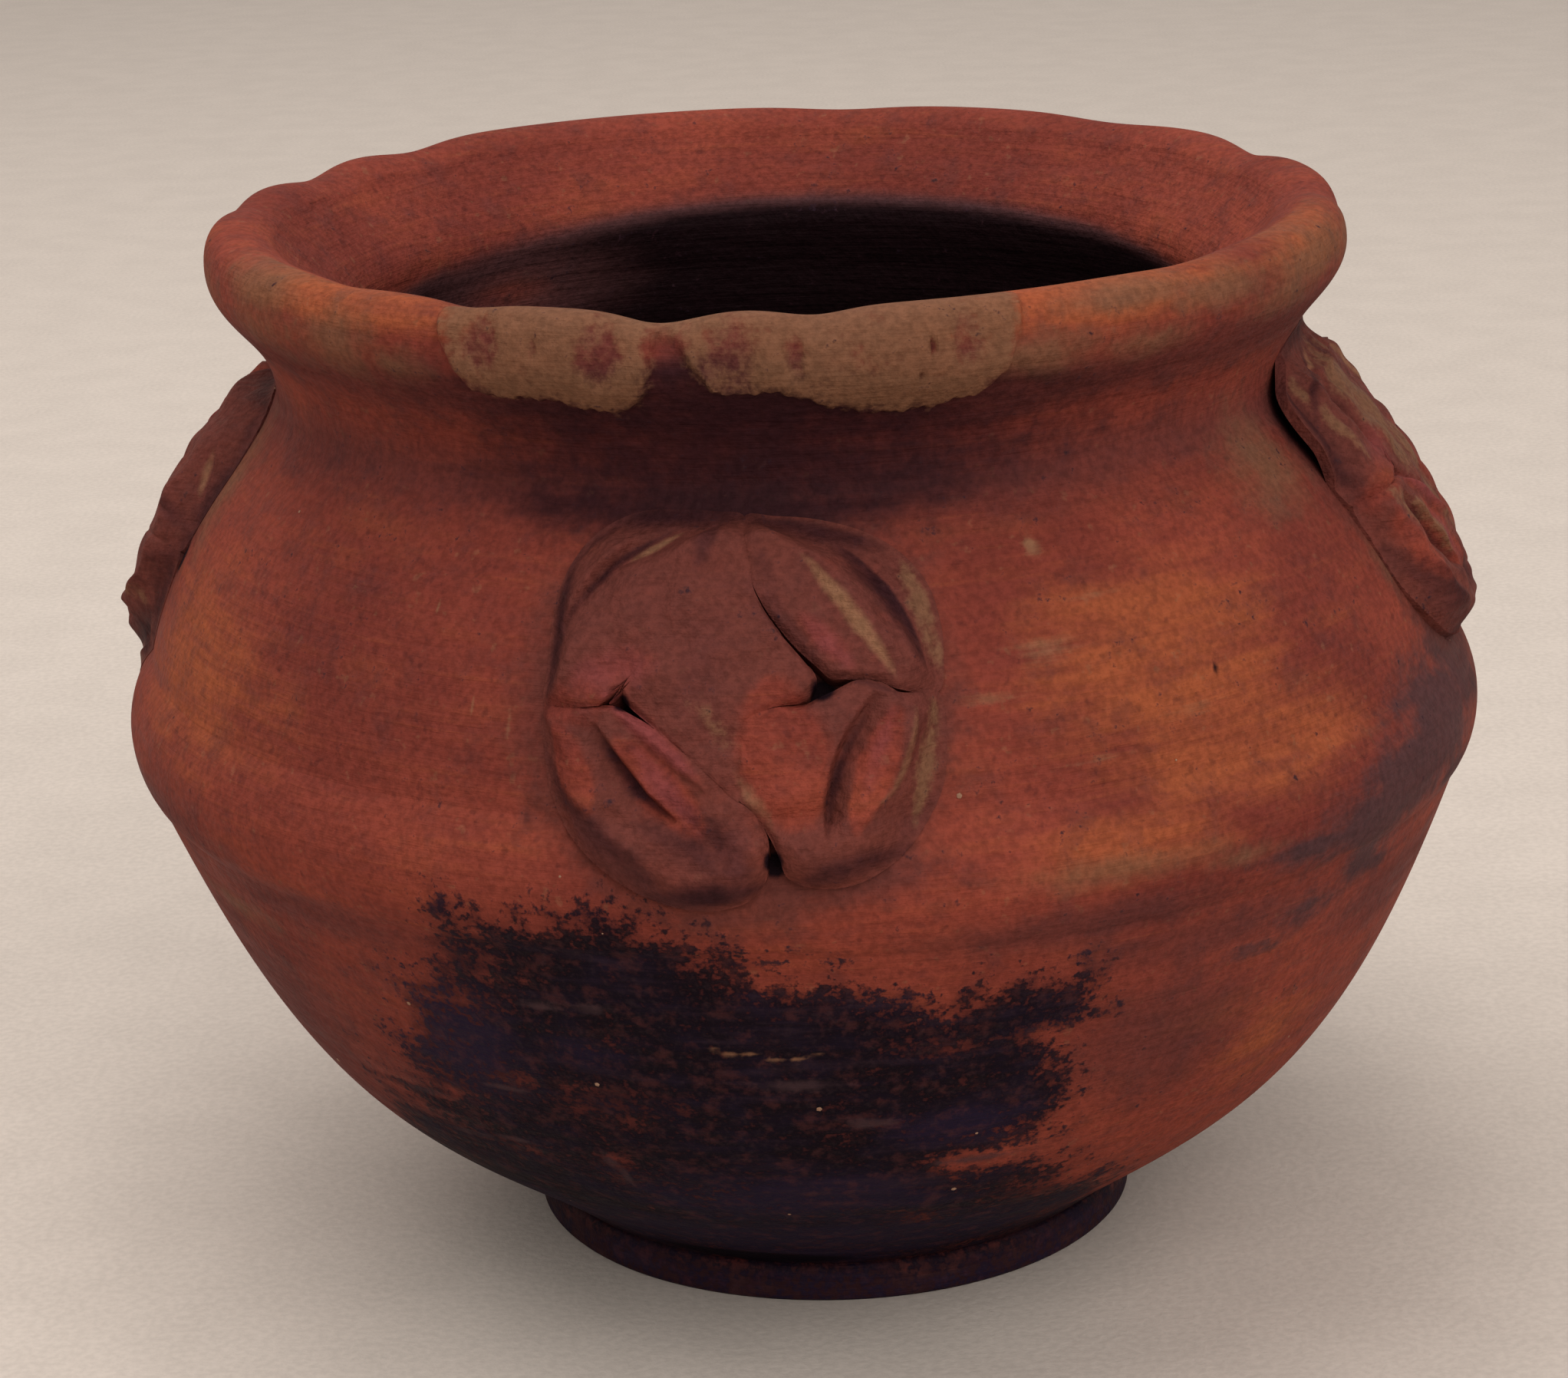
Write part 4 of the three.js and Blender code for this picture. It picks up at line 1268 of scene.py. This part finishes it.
# Coils of the wall from the base up: name, node, and the levels of the lower and upper edges
COILS = (
    ("lower_wall_coil", "lower_coil", BASE_TOP, LOWER_COIL_TOP),
    ("middle_wall_coil", "middle_coil", LOWER_COIL_TOP, CREASE_HEIGHT),
    ("belly_ridge_coil", "ridge_coil", CREASE_HEIGHT, RIDGE_TOP),
    ("shoulder_wall_coil", "shoulder_coil", RIDGE_TOP, COLLAR_BOTTOM),
    ("neck_ring", "neck_collar", COLLAR_BOTTOM, COLLAR_TOP),
)


class BOWL_OT_walls(bpy.types.Operator):
    """Makes the foot, the base, the coils, the collar and the lip"""

    bl_idname = "bowl.walls"
    bl_label = "Foot, coils and lip"

    def execute(self, context):
        sizes = context.scene.bowl_sizes
        colours = context.scene.bowl_colours
        wall_step = sizes.wall_step / MM
        lip_step = sizes.lip_step / MM
        clay = clay_material("Fired clay", colours, 0.66, 1.2)
        sooted = clay_material("Sooted clay", colours, 0.6, 1.0)
        worn = clay_material("Worn lip clay", colours, 0.74, 1.6)
        tree = tree_named("Hand shape", hand_shape_tree)
        wall_angles = azimuths(0.5, 1.0)
        lip_angles = azimuths(0.25, 0.6)
        pieces = [
            ("foot_disc", "foot_pad", "sooted_clay", sooted, foot_outline(lip_step), wall_angles, False),
            ("base_bowl", "base_slab", "fired_clay", clay, base_outline(wall_step), wall_angles, False),
        ]
        for name, node, low, high in COILS:
            outline = wall_outline(low, high, wall_step)
            pieces.append((name, node, "fired_clay", clay, outline, wall_angles, True))
        pieces.append(("pinched_lip", "rim_lip", "worn_lip", worn, lip_outline(lip_step), lip_angles, True))
        for name, node, slot, material, outline, angles, closed in pieces:
            piece = new_object(name, turned_mesh(name, outline, angles, sizes, closed))
            run_trees(piece, ((tree, hand_values(sizes, material)),))
            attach(piece, "root")
            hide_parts(node)
        return {"FINISHED"}


# Points round a pellet and from its edge to its middle, and points between the corners of its edge
PELLET_STEPS = 220
PELLET_RINGS = 60
EDGE_SAMPLES = 10

# How round the top of a pellet's edge is, between the widths of a free edge and of a smeared one
EDGE_WIDTHS = (3.6, 8.0)
EDGE_ROUNDNESS = (0.5, 1.0)

# Where the broad pellet of a rosette lifts off the wall, to the left and upwards, and how thick it is there
LIFT_ACROSS = (13.0, 19.5)
LIFT_UP = (2.0, 8.0)
LIFTED_THICKNESS = 1.3

# The dust on a pellet that is neither bare nor rosy, and the angle at which a pellet's faces show an edge
PELLET_DUST = 0.25
PELLET_SHARP_ANGLE = 58.0

# The share of a hole's reach that is in deep shade on the pellets round it
HOLE_SHARE = 0.65

# Marks that no pellet has
ABSENT_MARKS = ("soot", "smoke", "scratch", "scuff", "streak", "mauve_and_shade", "tinge")


def pellet_edge(form):
    """A pellet's outline as a close row of places, each with how its edge starts and how far it rises."""
    corners = []
    for kind, places in form["edge"]:
        corners += [(*place, *EDGES[kind]) for place in places]
    corners = np.array(corners, float)
    share = np.linspace(0.0, 1.0, EDGE_SAMPLES, endpoint=False)[:, None]
    spans = []
    for i in range(len(corners)):
        before, start, end, after = (corners[(i + k) % len(corners)] for k in (-1, 0, 1, 2))
        cubic = share * (3 * start - before - 3 * end + after)
        square = share * (2 * before - 5 * start + 4 * end - after + cubic)
        span = start + 0.5 * share * (end - before + square)
        span[:, 2:] = start[2:] + (end[2:] - start[2:]) * share
        spans.append(span)
    return np.vstack(spans)


def edge_rise(across, up, edge):
    """The share of its full height that a pellet has at a place, from the nearest parts of its edge."""
    distance = np.hypot(across[..., None] - edge[:, 0], up[..., None] - edge[:, 1])
    nearest = distance.min(axis=-1)
    weight = np.exp(nearest[..., None] - distance)
    weight /= weight.sum(axis=-1, keepdims=True)
    low = (weight * edge[:, 2]).sum(axis=-1)
    width = (weight * edge[:, 3]).sum(axis=-1)
    roundness = np.interp(width, EDGE_WIDTHS, EDGE_ROUNDNESS)
    return low + (1.0 - low) * smoothstep(nearest / width, 0.0, 1.0) ** roundness


def pellet_mesh(name, rosette, kind, sink):
    """One clay pellet, pressed against its neighbours, slit with a tool and smeared on to the wall."""
    form = ROSETTE_PELLETS[kind]
    edge = pellet_edge(form)
    middle_x, middle_y = form["middle"]
    directions = np.linspace(-math.pi, math.pi, PELLET_STEPS, endpoint=False)
    spokes = edge[:, :2] - (middle_x, middle_y)
    angles = np.arctan2(spokes[:, 1], spokes[:, 0])
    order = np.argsort(angles)
    lengths = np.hypot(spokes[:, 0], spokes[:, 1])
    reach = np.interp(directions, angles[order], lengths[order], period=2 * math.pi)
    top_shares = np.sin(np.linspace(math.pi / 2, 0.0, PELLET_RINGS + 1))[:-1]
    shares = np.concatenate(((0.5, 1.0), top_shares))[:, None]
    across = middle_x + shares * reach * np.cos(directions)
    up = middle_y + shares * reach * np.sin(directions)
    rise = edge_rise(across, up, edge)
    lift = rosette["lift"] * (kind == "broad")
    lifted = smoothstep(-across, *LIFT_ACROSS) * smoothstep(up, *LIFT_UP) * lift
    proud = rosette_relief(across, up, rosette) * rise
    lifted_top = lifted + LIFTED_THICKNESS * smoothstep(lifted, 0.0, 0.6) * (0.6 + 0.4 * rise)
    proud = np.maximum(proud, lifted_top)
    proud[:2] = -sink + lifted[:2]
    proud[0] = -sink
    rings = rosette_point(rosette, across, up, proud)
    first = rosette_point(rosette, middle_x, middle_y, -sink)
    top = rosette_relief(np.array(middle_x), np.array(middle_y), rosette)
    last = rosette_point(rosette, middle_x, middle_y, top)
    marks = {}
    for key, strokes in ROSETTE_TINTS.items():
        strokes = strokes + rosette["tints"].get(key, ())
        depth = np.max([stroke_relief(across, up, stroke) for stroke in strokes], axis=0)
        marks[key] = rosette["tint"] * np.clip(depth, 0.0, 1.0)
    marks["buff"] = np.maximum(marks["buff"] - marks["grime"], 0.0)
    marks["dust"] = PELLET_DUST - 0.6 * marks.pop("bare") - 0.2 * marks["rose"]
    marks["crevice"] = hole_depth(across, up, HOLE_SHARE)
    for key in ABSENT_MARKS:
        marks[key] = -1.0 + 0.0 * across
    for key, values in marks.items():
        marks[key] = np.concatenate(((values[0, 0],), values.ravel(), (values[-1, 0],)))
    return shell_mesh(name, rings, first, last, attributes=marks, sharp_angle=PELLET_SHARP_ANGLE)


class BOWL_OT_pellets(bpy.types.Operator):
    """Makes the four rosettes of four slit pellets"""

    bl_idname = "bowl.pellets"
    bl_label = "Pellet rosettes"

    def execute(self, context):
        sizes = context.scene.bowl_sizes
        material = clay_material("Pellet clay", context.scene.bowl_colours, 0.68, 2.0)
        tree = tree_named("Hand shape", hand_shape_tree)
        for rosette in ROSETTES:
            for kind in ROSETTE_PELLETS:
                name = f"{rosette['name']}_{kind}_pellet"
                piece = new_object(name, pellet_mesh(name, rosette, kind, sizes.pellet_sink / MM))
                run_trees(piece, ((tree, hand_values(sizes, material)),))
                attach(piece, "root")
                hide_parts(f"pellet_{rosette['name']}_{kind}")
        return {"FINISHED"}


class BOWL_OT_grains(bpy.types.Operator):
    """Scatters temper grains over the outside of the wall"""

    bl_idname = "bowl.grains"
    bl_label = "Temper grains"

    def execute(self, context):
        sizes = context.scene.bowl_sizes
        spacing = 3.0
        outline = evenly(stretch(OUTSIDE, FOOT_TOP + 1.0, COLLAR_TOP), spacing)
        turn = np.radians(np.arange(0.0, 360.0, spacing))[None, :]
        rings = around_axis(outline[:, 0][:, None], turn, outline[:, 1][:, None] + 0.0 * turn)
        piece = new_object("temper_grains", shell_mesh("temper_grains", rings))
        material = grain_material("Temper grain", context.scene.bowl_colours)
        grains = {
            "Density": sizes.grain_density,
            "Largest Size": sizes.grain_size,
            "Seed": sizes.grain_seed,
            "Material": material,
        }
        shape = tree_named("Hand shape", hand_shape_tree)
        scatter = tree_named("Temper grains", temper_tree)
        run_trees(piece, ((shape, hand_values(sizes, material)), (scatter, grains)))
        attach(piece, "root")
        return {"FINISHED"}


def floor_mesh():
    """A round sheet of floor, far wider than the view."""
    reach = np.array((0.2, 0.6, 1.2, 2.4, 5.0))[:, None] / MM
    turn = np.linspace(0.0, 2 * math.pi, 96, endpoint=False)[None, :]
    rings = np.stack((reach * np.cos(turn), reach * np.sin(turn), 0.0 * reach * turn), axis=-1)
    return shell_mesh("floor", rings[::-1], last_pole=(0.0, 0.0, 0.0))


def add_lamp(name, place, width, power, colour):
    lamp = bpy.data.lights.new(name, "AREA")
    lamp.shape = "DISK"
    lamp.size = width
    lamp.energy = power
    lamp.color = colour
    made = new_object(name, lamp)
    made.location = place
    made.rotation_euler = (Vector(LAMP_TARGET) - Vector(place)).to_track_quat("-Z", "Y").to_euler()


# The photograph's camera: angles in degrees, focal length in mm, and target and distance in metres
CAMERA_ELEVATION = 17.2
CAMERA_ROLL = -1.94
CAMERA_LENS = 84.54
CAMERA_TARGET = (-0.0025, 0.0, 0.0673)
CAMERA_DISTANCE = 0.472

# The light that comes from all sides
ROOM_COLOUR = (1.0, 0.98, 0.96, 1.0)
ROOM_STRENGTH = 0.58

# Lamps: name, place, width in metres, power in watts and colour
LAMPS = (
    ("Key lamp", (-0.3, 0.15, 1.2), 1.5, 9.0, (1.0, 0.99, 0.97)),
    ("Fill lamp", (0.5, -1.0, 0.9), 1.4, 9.0, (1.0, 0.98, 0.95)),
)
LAMP_TARGET = (0.0, 0.0, 0.06)


class BOWL_OT_stage(bpy.types.Operator):
    """Makes the floor, the lamps, the world and the camera"""

    bl_idname = "bowl.stage"
    bl_label = "Floor, light and camera"

    def execute(self, context):
        scene = context.scene
        colours = scene.bowl_colours
        floor = new_object("floor", floor_mesh())
        floor.data.materials.append(floor_material("Floor cloth", colours))

        for lamp in LAMPS:
            add_lamp(*lamp)

        world = bpy.data.worlds.new("Studio")
        world.use_nodes = True
        tree = world.node_tree
        tree.nodes.clear()
        rays = add_node(tree, "ShaderNodeLightPath").outputs
        seen = math_node(tree, "MAXIMUM", rays["Is Camera Ray"], rays["Is Glossy Ray"])
        seen = math_node(tree, "MAXIMUM", seen, rays["Is Transmission Ray"])
        room = value_of(tree, "ShaderNodeBackground", {"Color": ROOM_COLOUR, "Strength": ROOM_STRENGTH})
        backdrop = value_of(tree, "ShaderNodeBackground", {"Color": opaque(colours.floor), "Strength": 1.0})
        mixed = value_of(tree, "ShaderNodeMixShader", {0: seen, 1: room, 2: backdrop})
        tree.links.new(mixed, add_node(tree, "ShaderNodeOutputWorld").inputs[0])
        scene.world = world

        elevation = math.radians(CAMERA_ELEVATION)
        roll = math.radians(CAMERA_ROLL)
        back = Vector((0.0, -math.cos(elevation), math.sin(elevation)))
        right = Vector((1.0, 0.0, 0.0))
        up = back.cross(right)
        image_right = right * math.cos(roll) + up * math.sin(roll)
        image_up = up * math.cos(roll) - right * math.sin(roll)
        lens = bpy.data.cameras.new("Photo camera")
        lens.sensor_fit = "HORIZONTAL"
        lens.sensor_width = 36.0
        lens.lens = CAMERA_LENS
        lens.clip_start = 0.05
        lens.clip_end = 50.0
        camera = new_object("Photo camera", lens)
        place = Vector(CAMERA_TARGET) + back * CAMERA_DISTANCE
        turn = Matrix((image_right, image_up, back)).transposed().to_4x4()
        camera.matrix_world = Matrix.Translation(place) @ turn
        scene.camera = camera
        scene.view_settings.view_transform = "Standard"
        return {"FINISHED"}


class BOWL_PT_panel(bpy.types.Panel):
    """Lists the bowl's pieces, sizes and colours"""

    bl_label = "Pottery bowl"
    bl_idname = "BOWL_PT_panel"
    bl_space_type = "VIEW_3D"
    bl_region_type = "UI"
    bl_category = "Pottery bowl"

    def draw(self, context):
        layout = self.layout
        for operator in OPERATORS:
            layout.operator(operator.bl_idname)
        for group in (context.scene.bowl_sizes, context.scene.bowl_colours):
            column = layout.column()
            for key in group.__annotations__:
                column.prop(group, key)


OPERATORS = (BOWL_OT_walls, BOWL_OT_pellets, BOWL_OT_grains, BOWL_OT_stage)
CLASSES = (BowlSizes, BowlColours, *OPERATORS, BOWL_PT_panel)


def register():
    for cls in CLASSES:
        bpy.utils.register_class(cls)
    bpy.types.Scene.bowl_sizes = bpy.props.PointerProperty(type=BowlSizes)
    bpy.types.Scene.bowl_colours = bpy.props.PointerProperty(type=BowlColours)


def unregister():
    del bpy.types.Scene.bowl_colours
    del bpy.types.Scene.bowl_sizes
    for cls in reversed(CLASSES):
        bpy.utils.unregister_class(cls)


def main():
    register()
    bpy.ops.bowl.walls()
    bpy.ops.bowl.pellets()
    bpy.ops.bowl.grains()
    bpy.ops.bowl.stage()


if __name__ == "__main__":
    main()
